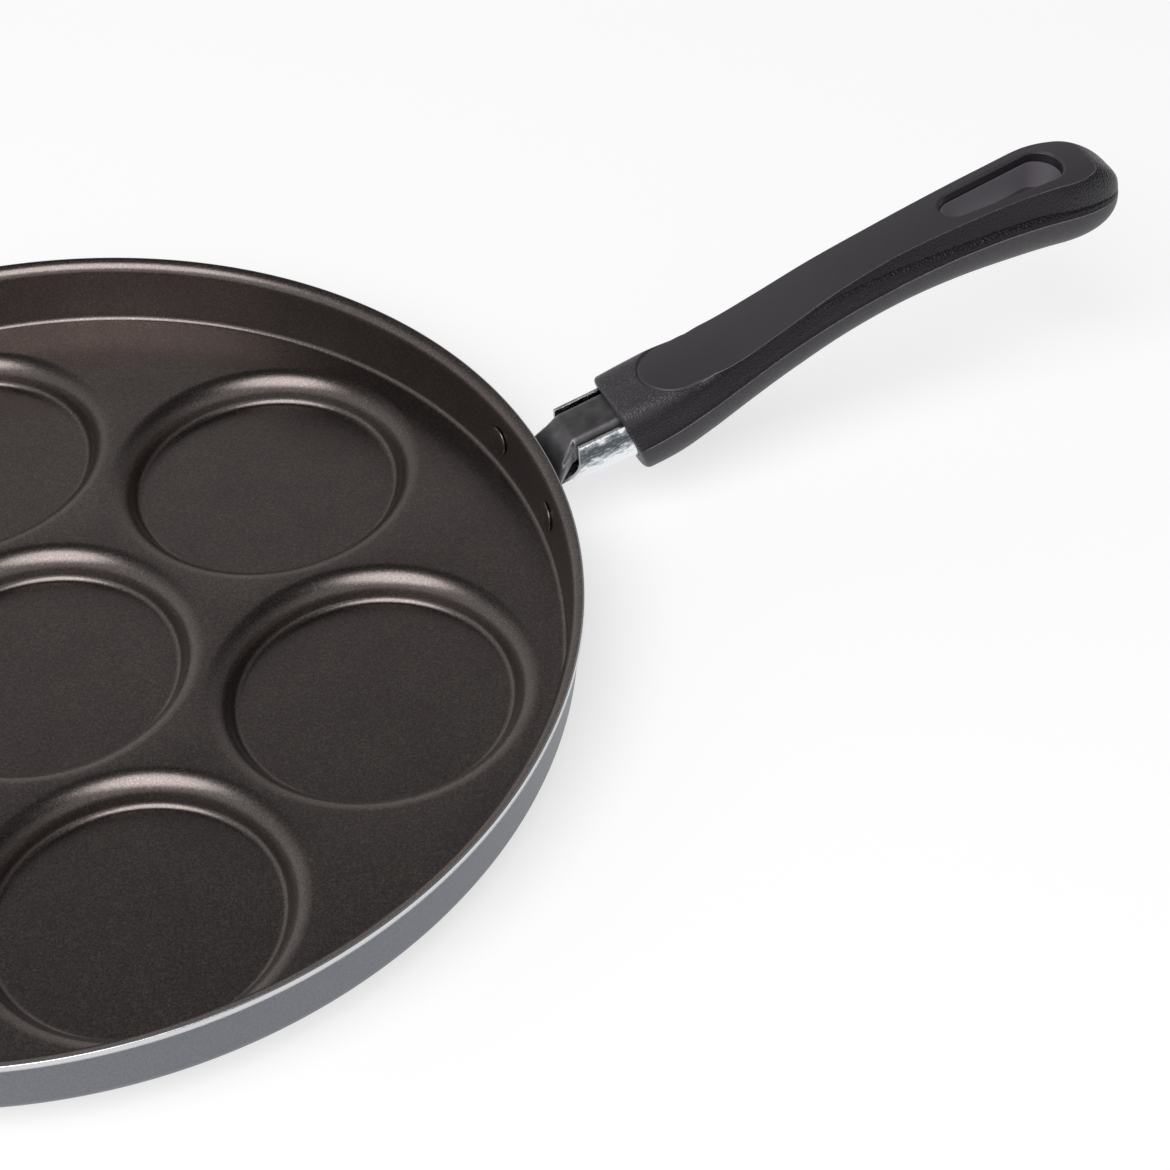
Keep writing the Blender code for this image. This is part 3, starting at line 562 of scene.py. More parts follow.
def makeEars():  # plate that follows the outside of the wall, with round ends
    middle = plateau + rivet["height"]
    halfHeight = bracket["earHeight"] / 2
    radius = wallRadius(middle, pan["sheet"])
    straight = rivet["spread"] / 2 * radius / wallRadius(middle)
    runs = [halfHeight * sin(radians(angle)) for angle in (*range(8, 80, 8), 79, 85)]
    right = [straight * step / 10 for step in range(11)] + [straight + run for run in runs]
    rings = []
    for spot in [-spot for spot in reversed(right[1:])] + right:
        reach = sqrt(halfHeight**2 - max(abs(spot) - straight, 0.0) ** 2)
        corners = ((-reach, 0.0), (-reach, steel), (reach, steel), (reach, 0.0))
        section = [(wallRadius(middle + z, pan["sheet"] + gap + out), middle + z) for z, out in corners]
        rings.append([(r * cos(spot / radius), r * sin(spot / radius), z) for r, z in section])
    return solid("ears", rings)


def makeNotch(side):  # relief cut through the flange's corner, just below the bend
    near, far, above = bendX + gap, bendX - bracket["notchLength"], bendZ + steel
    width, depth = bracket["notchWidth"], bracket["notchDepth"]
    half, farHalf = bracket["strapWidth"] / 2 - width, flareHalf(far) - width
    farLow = bendZ - (bendX - far) * tan(bracket["neckAngle"]) - depth / 3
    corners = [(near, half, above), (near, half, bendZ - depth)]
    corners += [(far, farHalf, farLow), (far, farHalf, above)]
    inner = [(x, side * y, z) for x, y, z in corners]
    outer = [(x, side * (bracket["flareHalf"] + steel), z) for x, y, z in corners]
    return solid("notch", [inner, outer])


def boreTool(radius, start, end, move, steps=48):
    return solid("bore", turned([(radius, start), (radius, end)], steps), move)


def screwFrame(depth=bracket["flangeDepth"]):
    spot = Matrix.Translation((screwX, 0.0, strapTop(screwX)))
    return spot @ Matrix.Rotation(-bracket["slope"], 4, "Y") @ Matrix.Translation((0.0, 0.0, -depth))


def makeBracket(material):
    piece = makeStrap()
    cut(piece, makeEars(), "UNION")
    reach = pan["sheet"] + gap + steel
    for side in (1, -1):
        cut(piece, makeNotch(side))
    for side in (1, -1):
        start, end = reach - 2 * steel, reach + 2 * steel
        cut(piece, boreTool(rivet["shank"] + gap, start, end, rivetFrame(side)))
    cut(piece, boreTool(bracket["screwHole"], -2 * steel, 2 * steel, screwFrame(0.0)))
    edgeRound(piece, bracket["edgeRound"])
    piece.data.materials.append(material)
    place(piece, "handle_bracket")


def blackSteelMaterial():
    # Pressed steel with a black oxide film: dark satin, with a painted highlight of lighter grey specks
    # on the bent edges.
    material, shader, add, where = newMaterial("blackened_steel_pressed", "5a585a", 0.38, 0.6)
    cloud = add("TexNoise", {"Scale": 260.0, "Detail": 4.0}, where)
    specks = add("TexNoise", {"Scale": 2100.0, "Detail": 2.0}, where)
    # painted highlight: the convex bent edges, found by pointiness, are tinted lighter in fine specks
    edges = add("NewGeometry", {}, {}).outputs["Pointiness"]
    paintedLight = add("MapRange", {"From Min": 0.53, "From Max": 0.62}, {"Value": edges})
    speckled = add("Math", {"operation": "MULTIPLY"}, {0: paintedLight, 1: specks})
    total = add("Math", {"operation": "MULTIPLY_ADD", 1: 0.35}, {0: cloud, 2: speckled})
    stops = [(0.10, "4a484a"), (0.26, "686668"), (0.7, "8c8a8c")]
    tint = add("ValToRGB", {"stops": stops}, {"Fac": total})
    bump = add("Bump", {"Strength": 0.12, "Distance": 0.00005}, {"Height": specks})
    feed(shader, {"Base Color": tint, "Normal": bump})
    return material


makeBracket(blackSteelMaterial())
print("bracket made")

# flame guard: a plated channel round the strap
guard = {
    "sheet": 0.9 * mm,
    "half": 8.4 * mm,
    "height": 15.3 * mm,
    "deepening": 0.055,
    "setDown": 0.9 * mm,
    "insert": 10.0 * mm,
    "front": 6.0 * mm,
    "cutDepth": 10.0 * mm,
    "cutFall": 2.0 * mm,
    "cutBend": 4.8 * mm,
    "edgeRound": 0.22 * mm,
    "around": 96,
    "along": 60,
    "paintedReflectionStops": [
        (0.50, "eef0f2"), (0.60, "b4babe"), (0.68, "6c7276"), (0.79, "464b4f"),
        (0.87, "7a8084"), (0.93, "a5abaf"), (0.965, "f2f3f4"),
    ],
}
guardStart = wallRadius(plateau + rivet["height"], pan["sheet"] + 4 * gap + steel)


def guardPoint(x, turn, grow=0.0, lift=0.0):  # turn runs 0 to 1 from the -Y top edge round the bottom
    half = guard["half"] + grow
    drop = guard["height"] - guard["half"] + (x - rimRadius) * guard["deepening"]
    level = strapTop(x) - guard["setDown"]
    legs = (drop + lift) / (2 * (drop + lift) + pi * half)
    if turn < legs:
        return Vector((x, -half, level + lift - (drop + lift) * turn / legs))
    if turn > 1 - legs:
        return Vector((x, half, level + lift - (drop + lift) * (1 - turn) / legs))
    angle = pi + pi * (turn - legs) / (1 - 2 * legs)
    return Vector((x, half * cos(angle), level - drop + half * sin(angle)))


def guardCut():  # the front edge's side view, as height against x
    low, front = bendZ - guard["cutDepth"], guardStart + guard["front"]
    corners = [(front, strapTop(guardStart) + 2 * steel), (front + gap, low)]
    corners += [(guardStart - steel, low - guard["cutFall"])]
    return roundedPath(corners, (guard["cutBend"],), 24)


def makeGuard(materials):
    curve = guardCut()[::-1]
    heights, reaches = np.array([tuple(point) for point in curve])[:, ::-1].T
    end = collarX + guard["insert"]
    around, along = guard["around"], guard["along"]
    layers = []
    for grow in (0.0, -guard["sheet"]):
        rows = []
        for index in range(around + 1):
            first = guardStart
            for attempt in range(30):  # closes in on where this strip meets the front cut
                level = guardPoint(first, index / around, grow).z
                front = max(float(np.interp(level, heights, reaches)), guardStart)
                first += (front - first) * 0.5
            spots = [first + (end - first) * (step / along) for step in range(along + 1)]
            rows.append([guardPoint(x, index / around, grow) for x in spots])
        layers.append(rows)
    outer, inner = layers
    bm = bmesh.new()
    loops = skin(bm, [[row[step] for row in outer + inner[::-1]] for step in range(along + 1)])
    closeSheet(bm, loops, slot=1)
    piece = meshPiece("flame_guard_channel", bm, materials, sharp=50.0)
    edgeRound(piece, guard["edgeRound"], 3, 60.0)
    place(piece, "flame_guard")


def platedSteelMaterial():
    # Bright nickel-plated sheet steel, a mirror mottled by press marks of about 1 x 3 mm. Its tint
    # holds a
    # painted reflection and painted shade: grey with dark bands on the upper half, white on the rounded
    # bottom.
    material, shader, add, where = newMaterial("nickel_plated_steel_sheet", "d3d6da", 0.16, 1.0)
    level = add("Mapping", {"Rotation": (0.0, bracket["slope"], 0.0)}, where)
    stretch = add("Mapping", {"Scale": (0.35, 1.0, 1.0)}, {"Vector": level})
    pattern = {"Scale": 950.0, "Detail": 5.0, "Roughness": 0.65}
    marks = add("TexNoise", pattern, {"Vector": stretch})
    axes = add("SeparateXYZ", {}, {"Vector": level})
    # painted reflection and shade: the tint runs with height, white low on the rounded bottom, grey
    # bands above
    top = (strapTop(0.0) - guard["setDown"]) * cos(bracket["slope"])
    rise = {"From Min": top - guard["height"], "From Max": top, "To Min": -0.26, "To Max": 0.63}
    height = add("MapRange", rise, {"Value": axes.outputs["Z"]})
    paintedLight = add("Math", {"operation": "MULTIPLY_ADD", 1: 0.7}, {0: marks, 2: height})
    tint = add("ValToRGB", {"stops": guard["paintedReflectionStops"]}, {"Fac": paintedLight})
    sheen = {"From Min": 0.3, "From Max": 0.7, "To Min": 0.10, "To Max": 0.28}
    rough = add("MapRange", sheen, {"Value": marks})
    bump = add("Bump", {"Strength": 0.25, "Distance": 0.0001}, {"Height": marks})
    feed(shader, {"Base Color": tint, "Roughness": rough, "Normal": bump})
    return material


# Sheared edge of the same sheet, bare and matt: pale with short burr marks, a thin light line.
shearedEdge = grainMaterial(
    "sheared_steel_edge", "e2e4e6", 0.50, 0.30,
    grain={"Scale": 2500.0, "Detail": 3.0},
    relief={"Strength": 0.2, "Distance": 0.00005},
)
makeGuard([platedSteelMaterial(), shearedEdge])
print("guard made")

# handle: one moulding with a crowned panel; plain lengths are in mm
# station columns: distance, height of the parting line over the strap, half width,
# height to the panel, depth to the underside, half width of the panel
# fades: the stretch in which one form takes over from another
# places: where a point lies across a section, from 0 at the parting line to 9 on the crown
grip = {
    "stations": (
        (0, -10.0, 10.8, 14.6, 12.2, 9.2),
        (12, -6.3, 11.3, 12.4, 12.8, 9.2),
        (22, -2.4, 11.2, 9.7, 12.1, 9.2),
        (34, 2.6, 10.4, 7.4, 11.4, 8.9),
        (46, 7.5, 9.6, 7.0, 11.1, 8.3),
        (62, 13.1, 9.1, 7.8, 10.3, 7.4),
        (78, 17.6, 9.1, 8.3, 10.2, 7.0),
        (94, 21.1, 9.6, 8.6, 11.1, 7.5),
        (110, 23.2, 10.3, 9.6, 12.2, 8.3),
        (124, 23.6, 10.8, 11.0, 12.4, 9.3),
        (146, 21.6, 10.8, 12.6, 12.4, 9.3),
    ),
    "fades": {
        "facets": (16.0, 32.0),
        "tail": (116.0, 130.0),
        "groove": (44.0, 62.0),
        "grooveFall": (50.0, 105.0),
        "ridge": (4.0, 7.0),
        "chin": (2.0, 26.0),
        "front": (24.0, 30.0),
        "crease": (16.0, 22.0),
        "rearBorder": (134.0, 139.0),
        "line": (20.0, 27.0),
    },
    "lean": (radians(21.5), radians(7.5)),
    "powers": {"top": 4.8, "under": 2.5, "tail": 4.5},
    "dome": (13.2, 0.0053),
    "start": 3.2,
    "edge": 1.2,
    "heel": 1.6,
    "chin": 1.0,
    "facetInset": 0.9,
    "groove": (6.6, 4.4),
    "grooveUnder": 1.3,
    "grooveDepth": 0.6,
    "grooveHalf": 0.45,
    "panelHalf": 9.0,
    "panelCrown": 0.6,
    "panelFront": (12.6, 8.6, 9.05),
    "panelRim": 0.35,
    "tailStart": 124.0,
    "tailRounding": 2.2,
    "tailCrown": 2.0,
    "tailShort": 0.04,
    "slot": (93.6, 128.3, 4.6, 6.3),
    "slotWall": 10.8,
    "slotStep": 2.7,
    "slotLedge": 0.35,
    "slotLip": 0.45,
    "slotBreak": 0.25,
    "slotAbove": 6.0,
    "pocketMargin": 1.2,
    "topGrain": 0.6,
    "ridge": 0.28,
    "ridgeHalf": 0.22,
    "flashHalf": 0.16,
    "lineDepth": 0.45,
    "lineHalf": 0.28,
    "groovePlace": 5.0,
    "borderPlace": 6.0,
    "borderTop": 8.6,
    "crownPlace": 9.0,
    "topPlaces": (3.0, 6.0),
    "stepFine": 0.22,
    "stepCoarse": 0.6,
    "fineTo": 27.0,
    "screwCover": 6.5 * mm,
    "headHole": 4.7 * mm,
    "holeReach": 20.0 * mm,
}


def stationTable(distance):  # cubic through the rows, as one array per column
    rows = np.array(grip["stations"], float)
    distance = np.asarray(distance, float)
    index = np.clip(np.searchsorted(rows[:, 0], distance, side="left") - 1, 0, len(rows) - 2)
    start, end = rows[index], rows[index + 1]
    before, after = rows[np.maximum(index - 1, 0)], rows[np.minimum(index + 2, len(rows) - 1)]
    span = end[..., :1] - start[..., :1]
    share = (distance[..., None] - start[..., :1]) / span
    slopeStart = (end - before) / (end[..., :1] - before[..., :1]) * span
    slopeEnd = (after - start) / (after[..., :1] - start[..., :1]) * span
    values = start * (2 * share**3 - 3 * share**2 + 1) + slopeStart * (share**3 - 2 * share**2 + share)
    values += end * (3 * share**2 - 2 * share**3) + slopeEnd * (share**3 - share**2)
    return [values[..., column] for column in range(1, 6)]


def ease(value, start, end):
    share = np.clip((value - start) / (end - start), 0.0, 1.0)
    return share * share * (3 - 2 * share)


def fade(d, name):  # 0 before the named stretch, 1 after it
    return ease(d, *grip["fades"][name])


def polarCurve(width, height, power, angle):
    c, s = np.cos(angle), np.sin(angle)
    radius = 1 / ((np.abs(c) / width) ** power + (np.abs(s) / height) ** power) ** (1 / power)
    return radius * c, radius * s


def edgeLoss(inset, radius):
    left = np.clip(1 - inset / radius, 0.0, 1.0)
    return radius * (1 - np.sqrt(1 - left**2))


def stationFrame(distance):
    share = np.clip(distance / grip["tailStart"], 0.0, 1.0)
    first, last = grip["lean"]
    lean = first + (last - first) * share
    height = stationTable(distance)[0]
    return collarX / mm + distance, strapTop(collarX) / mm + height, -np.sin(lean), np.cos(lean)


def panelLine():  # the panel's centre line as height against x, carried on past both ends
    distances = np.arange(0.0, grip["tailStart"] + 0.1, 1.0)
    x, z, upX, upZ = stationFrame(distances)
    top = stationTable(distances)[2]
    xs, zs = x + upX * top, z + upZ * top
    xs = np.hstack([xs[0] - 10.0, xs, xs[-1] + 10.0, xs[-1] + 30.0])
    return xs, np.hstack([zs[0] - 1.5, zs, zs[-1] - 0.4, zs[-1] - 3.0])


def panelHeight(x, y):
    xs, zs = panelLine()
    crown = grip["panelCrown"] * (0.5 - np.clip(np.abs(y) / grip["panelHalf"], 0.0, 1.0) ** 2)
    return np.interp(x, xs, zs) + crown


def frontDistance(d, y):  # from the rounded front end of the panel, negative inside it
    tip, length, half = grip["panelFront"]
    along = np.minimum((d - tip - length) / length, 0.0)
    return (np.sqrt(along**2 + (y / half) ** 2) - 1) * half


def facedOutline(width, top, panel, groove, t):  # straight facets between the same corners as the solid
    side = width - grip["facetInset"]
    slope = np.clip((side - panel) / (top - groove), 0.0, 1.0)
    crown = grip["tailCrown"]
    corners = [
        (width, 0.0),
        (width - 0.15, groove * 0.45),
        (side + 0.1, groove - 0.35),
        (side, groove),
        (side - slope * 0.4, groove + 0.4),
        ((side + panel) / 2, (top + groove) / 2 + 0.1),
        (panel, top),
        (panel - slope * 1.2, top + crown * 0.6),
        (panel * 0.5, top + crown * 0.9),
        (0.0, top + crown),
    ]
    index = np.minimum(t.astype(int), len(corners) - 2)
    share = t - index
    table = [np.hstack([corner[axis] + 0 * width for corner in corners]) for axis in (0, 1)]
    low, high = [[np.take_along_axis(rows, index + step, 1) for rows in table] for step in (0, 1)]
    return [a * (1 - share) + b * share for a, b in zip(low, high)]


def tailSpread():  # length of the rounded tail, a hair short of the solid's
    return grip["stations"][-1][0] - grip["tailStart"] - grip["tailShort"]


def gripDistances():
    edge = [grip["start"] + grip["heel"] * (1 - cos(radians(a))) for a in range(0, 91, 10)]
    fine = np.arange(edge[-1] + 0.25, grip["fineTo"], grip["stepFine"])
    coarse = np.arange(grip["fineTo"] + 0.2, grip["tailStart"], grip["stepCoarse"])
    tail = [grip["tailStart"] + tailSpread() * sin(radians(a)) for a in np.linspace(1.0, 89.3, 70)]
    return np.array(edge + list(fine) + list(coarse) + tail)


def gripGrid(d, t, angle):  # points of one half, from the crown down to the underside's middle line
    d = d[:, None]
    width, top, bottom, panel = stationTable(d)[1:]
    powers, start, tail = grip["powers"], grip["start"], grip["tailStart"]
    dome = np.maximum(grip["dome"][0] - grip["dome"][1] * d**2, 2.0)
    highest, fall = grip["groove"]
    groove = np.minimum(highest - fall * fade(d, "grooveFall"), top - grip["grooveUnder"])
    y1, h1 = polarCurve(width, dome, powers["top"], np.radians(10 * t))
    y2, h2 = facedOutline(width, top, panel, groove, t)
    crown = top + grip["tailCrown"]
    y3 = width * np.maximum(1 - (h2 / crown) ** powers["tail"], 0.0) ** (1 / powers["tail"])
    share = fade(d, "facets")
    y, h = y1 + (y2 - y1) * share, h1 + (h2 - h1) * share
    share = fade(d, "tail")
    y, h = y + (y3 - y) * share, h + (h2 - h) * share
    valley = np.exp(-(((h - groove) / grip["grooveHalf"]) ** 2)) * (t < grip["groovePlace"])
    y = y - grip["grooveDepth"] * fade(d, "groove") * valley
    # rounded edge at the collar's mouth, and the half below the parting line
    slim = 1 - edgeLoss(d - start, grip["edge"]) / width
    y, h = y * slim, h * slim
    bottom = bottom - edgeLoss(d - start, grip["heel"])
    yl, hl = polarCurve(width * slim, bottom, powers["under"], angle)
    yAll = np.hstack([y[:, ::-1], yl])
    hAll = np.hstack([h[:, ::-1], -hl])
    upper = np.arange(yAll.shape[1])[None, :] < t.shape[1]
    ridge = np.exp(-((hAll / grip["ridgeHalf"]) ** 2)) * fade(d, "ridge")
    yAll = yAll + grip["ridge"] * ridge * (yAll > 1.0)
    # rounded tail
    run = np.maximum(d - tail, 0.0) / tailSpread()
    shrink = np.maximum(1 - run ** grip["tailRounding"], 0.0002) ** (1 / grip["tailRounding"])
    yAll, hAll = yAll * shrink, hAll * shrink
    baseX, baseZ, upX, upZ = stationFrame(d)
    chin = grip["chin"] * (1 - fade(d, "chin")) * (np.minimum(hAll, 0.0) / bottom) ** 2
    x = baseX + upX * hAll - chin
    z = baseZ + upZ * hAll
    # everything above the crowned panel comes down along the section onto it
    x2, z2 = x, z
    for attempt in range(4):
        over = z2 - panelHeight(x2, yAll)
        x2, z2 = x2 - upX * over / upZ, z2 - over
    over = z - z2
    front = 1 - fade(d, "front")
    away = frontDistance(d, yAll)
    edge = front * away - (1 - front) * over
    allow = grip["panelRim"] * front
    outside = np.where(over > allow, (over - allow) / np.maximum(over, 1e-6), 0.0)
    inside = np.where((over > 0) | ((front > 0.5) & (over > -0.6)), 1.0, 0.0)
    soft = 0.4 - 0.399 * fade(d, "crease")
    share = np.clip(0.5 - edge / soft, 0.0, 1.0)
    share = np.where(front > 0, share * inside + (1 - share) * outside, outside) * upper
    x, z = x + (x2 - x) * share, z + (z2 - z) * share
    line = np.exp(-((away / grip["lineHalf"]) ** 2)) * (1 - fade(d, "line"))
    z = z - grip["lineDepth"] * line * (hAll > 5.0)
    # grain: 1 on the eroded sides, less on the collar's top, -1 on the trimmed flash line
    topness = front * ease(np.pad(t[:, ::-1], ((0, 0), (0, angle.size))), *grip["topPlaces"])
    sides = upper & (edge > 0.01 + 0.24 * front)
    grain = np.where(sides, 1 - grip["topGrain"] * topness, 0.0)
    flash = grip["flashHalf"]
    grain = np.where((np.abs(hAll) < flash) & (d > 5.0), -1.0, grain)
    # paler: the collar's top and the panel's long edge catch the light, the underside doesn't
    paler = np.where(sides, 0.42 * topness, np.where(hAll < -flash, -0.3, 0.0))
    rim = upper & (np.abs(edge) < 0.1) & (d > grip["fades"]["front"][0])
    grain, paler = np.where(rim, 0.0, grain), np.where(rim, 0.5, paler)
    return x, yAll, z, grain, paler, edge[:, : t.shape[1]][:, ::-1]


def borderPlaces(d, t, edge):  # where each section crosses the panel's border, as a place t
    usual = grip["borderPlace"]
    places = np.full(len(d), usual)
    for row, values in enumerate(edge):
        crossings = np.nonzero((values[:-1] > 0) & (values[1:] <= 0))[0]
        if len(crossings):
            k = crossings[-1]
            places[row] = t[k] + (t[k + 1] - t[k]) * values[k] / (values[k] - values[k + 1])
    weight = fade(d, "crease") * (1 - fade(d, "rearBorder"))
    return usual + (np.minimum(places, grip["borderTop"]) - usual) * weight


def makeGripBody():
    d = gripDistances()
    # places across, closer at the parting line, the groove and the panel's border
    runs = [(0.0, 4.0, 0.1), (4.0, 9.001, 0.06), (0.0, 0.4, 0.04), (2.6, 3.6, 0.05), (5.7, 6.3, 0.04)]
    t = np.unique(np.hstack([np.arange(*run) for run in runs]).round(4))
    angle = np.radians(np.hstack([np.arange(0.5, 3.5, 0.7), np.arange(4.0, 90.01, 2.0)]))
    even = np.tile(t, (len(d), 1))
    border, crown = grip["borderPlace"], grip["crownPlace"]
    places = borderPlaces(d, t, gripGrid(d, even, angle)[-1])[:, None]
    stretched = crown - (crown - even) * (crown - places) / (crown - border)
    even = np.where(even < border, even * places / border, stretched)
    x, y, z, grain, paler = gripGrid(d, even, angle)[:5]
    grained = np.where(grain > 0.2, 1.0, 0.0)
    crease = np.zeros_like(grained)
    for shift in ((0, 1), (0, -1), (1, 0), (-1, 0)):
        crease = np.maximum(crease, np.abs(grained - np.roll(grained, shift, axis=(0, 1))))
    crease[d < grip["fades"]["rearBorder"][0]] = 0
    for values in (x, y, z, x, y, z):  # neighbours' mean, twice, only beside that crease
        mean = values.copy()
        around = values[:-2, 1:-1] + values[2:, 1:-1] + values[1:-1, :-2] + values[1:-1, 2:]
        mean[1:-1, 1:-1] = around / 4
        values += (mean - values) * crease * 0.5
    y[:, 0] = y[:, -1] = 0.0
    # the other half mirrors this one, without its first and last column
    points = np.stack([x, y, z, grain, paler], axis=-1)
    mirrored = points[:, -2:0:-1] * (1, -1, 1, 1, 1)
    points = np.concatenate([points, mirrored], axis=1)
    spots, shades = points[..., :3] * mm, points[..., 3:]
    return solid("handle_grip_moulding", spots), spots.reshape(-1, 3), shades.reshape(-1, 2)


def slotOutline(margin, steps=28):  # plan of the hanging slot
    start, end, front, rear = grip["slot"]
    frontX, rearX = collarX / mm + start + front, collarX / mm + end - rear
    front, rear = front + margin, rear + margin
    taper = asin((rear - front) / (rearX - frontX))
    foreArc = (frontX, front, pi / 2 + taper, pi - 2 * taper)
    rearArc = (rearX, rear, -pi / 2 - taper, pi + 2 * taper)
    outline = []
    for middle, radius, first, sweep in (foreArc, rearArc):
        for step in range(steps + 1):
            angle = first + sweep * step / steps
            outline.append((middle + radius * cos(angle), radius * sin(angle)))
    return outline


def slotTool():  # rounded lip, upper band, ledge, lower wall and the pocket below it
    step, ledge, wall = grip["slotStep"], grip["slotLedge"], grip["slotWall"]
    lip, above = grip["slotLip"], grip["slotLip"] + grip["slotBreak"]
    levels = [(grip["slotAbove"], above), (grip["slotBreak"], above), (0.0, lip)]
    for angle in map(radians, (30, 50, 70, 90)):
        levels.append((-lip * (1 - cos(angle)), lip * (1 - sin(angle))))
    levels += [(-step, 0.0), (-step - 0.1, -ledge * 0.9), (-step - 0.3, -ledge)]
    levels += [(-wall, -ledge), (-wall - 0.01, grip["pocketMargin"])]
    xs, zs = panelLine()
    rings = []
    for drop, margin in levels:
        outline = [(x, y, float(np.interp(x, xs, zs)) + drop) for x, y in slotOutline(margin)]
        rings.append([(x * mm, y * mm, z * mm) for x, y, z in outline])
    rings.append([(x, y, 0.0) for x, y, z in rings[-1]])
    return solid("slot_tool", rings)


def socketTool():
    lift = guard["setDown"] + 2 * gap
    ends = (collarX - guard["insert"], collarX + guard["insert"] + gap)
    rings = [[guardPoint(x, i / 64, gap, lift) for i in range(65)] for x in ends]
    return solid("socket_tool", rings)


def tongueTool():
    half, low = bracket["strapWidth"] / 2 + gap, bracket["flangeDepth"] + 2 * gap
    end = collarX + bracket["tongue"] + steel * sin(bracket["slope"]) + gap
    corners = ((-half, -low), (half, -low), (half, 0), (-half, 0))
    rings = [[(x, y, strapTop(x) + gap + h) for y, h in corners] for x in (collarX - steel, end)]
    return solid("tongue_tool", rings)


def makeGrip(material):
    piece, points, shades = makeGripBody()
    tool = slotTool()
    reach, cover = grip["holeReach"], grip["screwCover"]
    bore = boreTool(bracket["screwHole"], -reach, 0.0, screwFrame(), 40)
    counterbore = boreTool(grip["headHole"], -reach, -cover, screwFrame(), 64)
    for cutter in (socketTool(), tongueTool(), bore, counterbore):
        cut(tool, cutter, "UNION")
    cut(piece, tool)
    mesh = piece.data
    mesh.materials.clear()
    mesh.materials.append(material)
    mesh.shade_smooth()
    mesh.set_sharp_from_angle(angle=radians(42.0))
    tree = KDTree(len(points))
    for index, point in enumerate(points):
        tree.insert(point, index)
    tree.balance()
    # vertices take the shades of the nearest grid point, and the cut faces their own
    spots = np.array([vert.co for vert in mesh.vertices]) / mm
    depth = np.interp(spots[:, 0], *panelLine()) - spots[:, 2]
    nearest, away = np.array([tree.find(vert.co)[1:] for vert in mesh.vertices]).T
    away = away / mm
    grained, paler = np.where(away < 0.5, shades[nearest.astype(int)].T, 0.0)
    # painted shade on the slot's upper band, painted highlight on its lower wall and on the other cut
    # faces
    inSlot = (np.abs(spots[:, 1]) < grip["slot"][3]) & (away > 0.35) & (depth > 0.4)
    paler = np.where(inSlot, np.where(depth < grip["slotStep"] + 0.05, -0.7, 1.0), paler)
    for name, row in (("grained", grained), ("paler", paler)):
        mesh.attributes.new(name, "FLOAT", "POINT").data.foreach_set("value", row.astype(np.float32))
    place(piece, "handle_grip")


def phenolicMaterial():
    # Compression-moulded phenolic plastic: charcoal, satin on the panel and below the parting line,
    # and spark-eroded grain on the sides whose tiny facets glint. Grain is 0.3 mm, drawn at 0.6 mm.
    # The slot's lower wall and the sockets carry a painted highlight, the slot's upper band a painted
    # shade.
    material, shader, add, where = newMaterial("phenolic_plastic_moulded", "343135", 0.46, 0.0)
    mask = add("Attribute", {"attribute_name": "grained"}, {}).outputs["Fac"]
    paler = add("Attribute", {"attribute_name": "paler"}, {}).outputs["Fac"]
    fine = add("TexNoise", {"Scale": 2600.0, "Detail": 2.0}, where)
    grit = add("TexVoronoi", {"Scale": 1700.0}, where)
    lighter = add("Math", {"operation": "ADD"}, {0: paler, 1: fine})
    shade = add("Math", {"operation": "MULTIPLY_ADD", 1: -0.5}, {0: mask, 2: lighter})
    stops = [(0.0, "1e1b1f"), (0.16, "242025"), (0.34, "383439")]
    stops += [(0.72, "3c383d"), (0.9, "545056"), (1.0, "67626a")]
    tint = add("ValToRGB", {"stops": stops}, {"Fac": shade})
    weighted = add("Math", {"operation": "MULTIPLY"}, {0: grit, 1: mask})
    smooth = add("Math", {"operation": "MULTIPLY_ADD", 1: 0.03}, {0: fine, 2: weighted})
    bump = add("Bump", {"Strength": 0.6, "Distance": 0.0004}, {"Height": smooth})
    gloss = add("MapRange", {"To Min": 0.45, "To Max": 0.16}, {"Value": mask})
    rough = add("MapRange", {"To Min": 0.44, "To Max": 0.27}, {"Value": mask})
    feed(shader, {"Base Color": tint, "Roughness": rough, "Normal": bump})
    feed(shader, {"Specular IOR Level": gloss})
    return material


makeGrip(phenolicMaterial())
print("handle made")

# screw and spring washer under the handle
screw = {
    "radius": 2.0 * mm,
    "headRadius": 3.8 * mm,
    "headHeight": 2.4 * mm,
    "headPole": 0.3 * mm,
    "headDome": 0.65,
    "threadDepth": 0.22 * mm,
    "threadStart": 1.0 * mm,
    "threadStops": 1.2 * mm,
    "threadTurns": 14,
    "tipLength": 0.7 * mm,
    "tipRadius": 1.4 * mm,
    "washerRadius": 4.4 * mm,
    "washerThick": 0.9 * mm,
    "washerTop": 0.1 * mm,
    "washerLow": 0.8 * mm,
    "washerTwist": 0.08 * mm,
    "washerEdge": 0.08 * mm,
    "crossWidth": 0.9 * mm,
    "crossReach": 2.1 * mm,
    "crossDepth": 1.3 * mm,
    "slit": radians(14.0),
}
screwSeat = grip["screwCover"] + gap


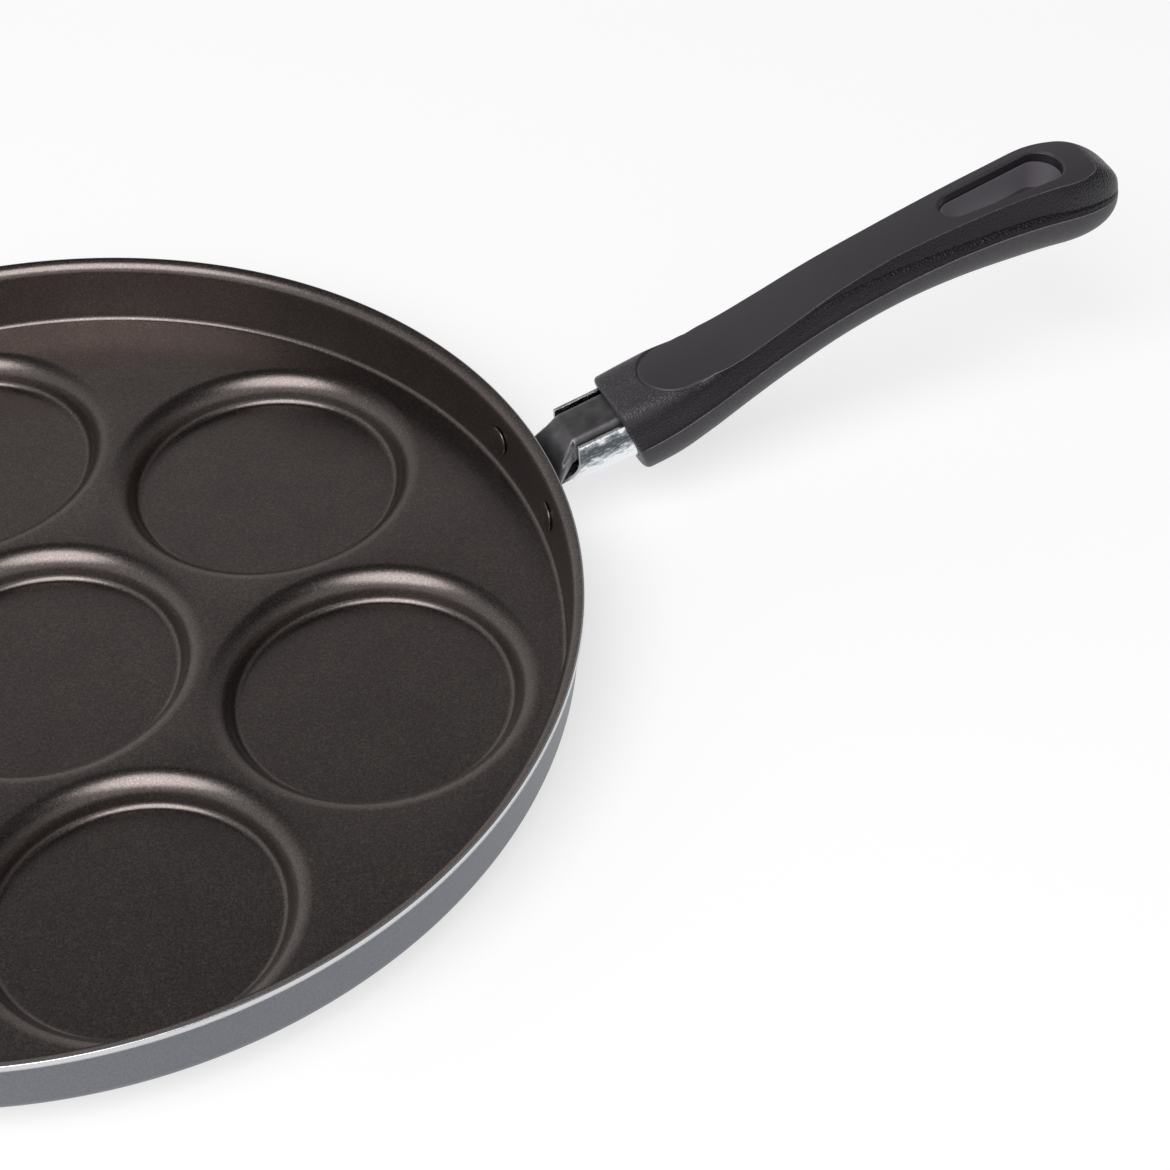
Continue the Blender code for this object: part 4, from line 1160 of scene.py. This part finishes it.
def makeScrew(material):
    head = screwSeat + screw["washerThick"] + gap
    end = bracket["flangeDepth"] - gap / 3
    low, r = -head - screw["headHeight"], screw["headRadius"]
    shaft, start = screw["radius"], screw["threadStart"]
    profile = [(screw["headPole"], low)]
    dome, halves = screw["headDome"], screw["threadTurns"] * 2
    for angle in map(radians, range(10, 91, 8)):
        level = -head - screw["headHeight"] * (1 - dome + dome * cos(angle))
        profile.append((r * sin(angle), level))
    profile += [(r, -head), (shaft, -head)]
    run = end + head - start - screw["threadStops"]
    for index in range(halves):  # thread crests and roots
        root = screw["threadDepth"] if index % 2 else 0.0
        profile.append((shaft - root, -head + start + run * index / halves))
    profile += [(shaft, end - screw["tipLength"]), (screw["tipRadius"], end)]
    piece = solid("handle_screw_turned", turned(profile, 48), screwFrame(), [material], 35.0)
    cross = (screw["crossReach"] * 2, screw["crossWidth"], screw["crossDepth"] * 2, 1.0)
    spot = screwFrame() @ Matrix.Translation((0.0, 0.0, low))
    for turn in (0.0, pi / 2):
        bm = bmesh.new()
        bmesh.ops.create_cube(bm, size=1.0)
        move = spot @ Matrix.Rotation(turn, 4, "Z") @ Matrix.Diagonal(cross)
        bmesh.ops.transform(bm, matrix=move, verts=bm.verts)
        cut(piece, meshPiece("cross_tool", bm))
    piece.data.materials.clear()
    piece.data.materials.append(material)
    place(piece, "handle_screw")


def makeWasher(material):
    outer, inner = screw["washerRadius"], screw["radius"] + gap
    top, low = -screwSeat - screw["washerTop"], -screwSeat - screw["washerLow"]
    steps = 72
    rings = []
    for step in range(steps + 1):
        angle = screw["slit"] / 2 + (2 * pi - screw["slit"]) * step / steps
        lift = screw["washerTwist"] * (step / steps - 0.5) * 2
        section = ((inner, top), (outer, top), (outer, low), (inner, low))
        rings.append([(r * cos(angle), r * sin(angle), level + lift) for r, level in section])
    piece = solid("screw_washer_split", rings, screwFrame(), [material], 35.0)
    edgeRound(piece, screw["washerEdge"], 1, 50.0)
    place(piece, "screw_washer")


# Zinc-plated fastener steel, passivated: pale grey with a faint cloudy tint and soft gloss.
fastenerSteel = grainMaterial(
    "zinc_plated_steel", "b9bbb6", 0.32, 1.0,
    grain={"Scale": 500.0, "Detail": 4.0},
    relief={"Strength": 0.1, "Distance": 0.00005},
    stops=[(0.35, "a7a9a2"), (0.65, "c6c8c5")],
)
makeScrew(fastenerSteel)
makeWasher(fastenerSteel)
print("screw and washer made")
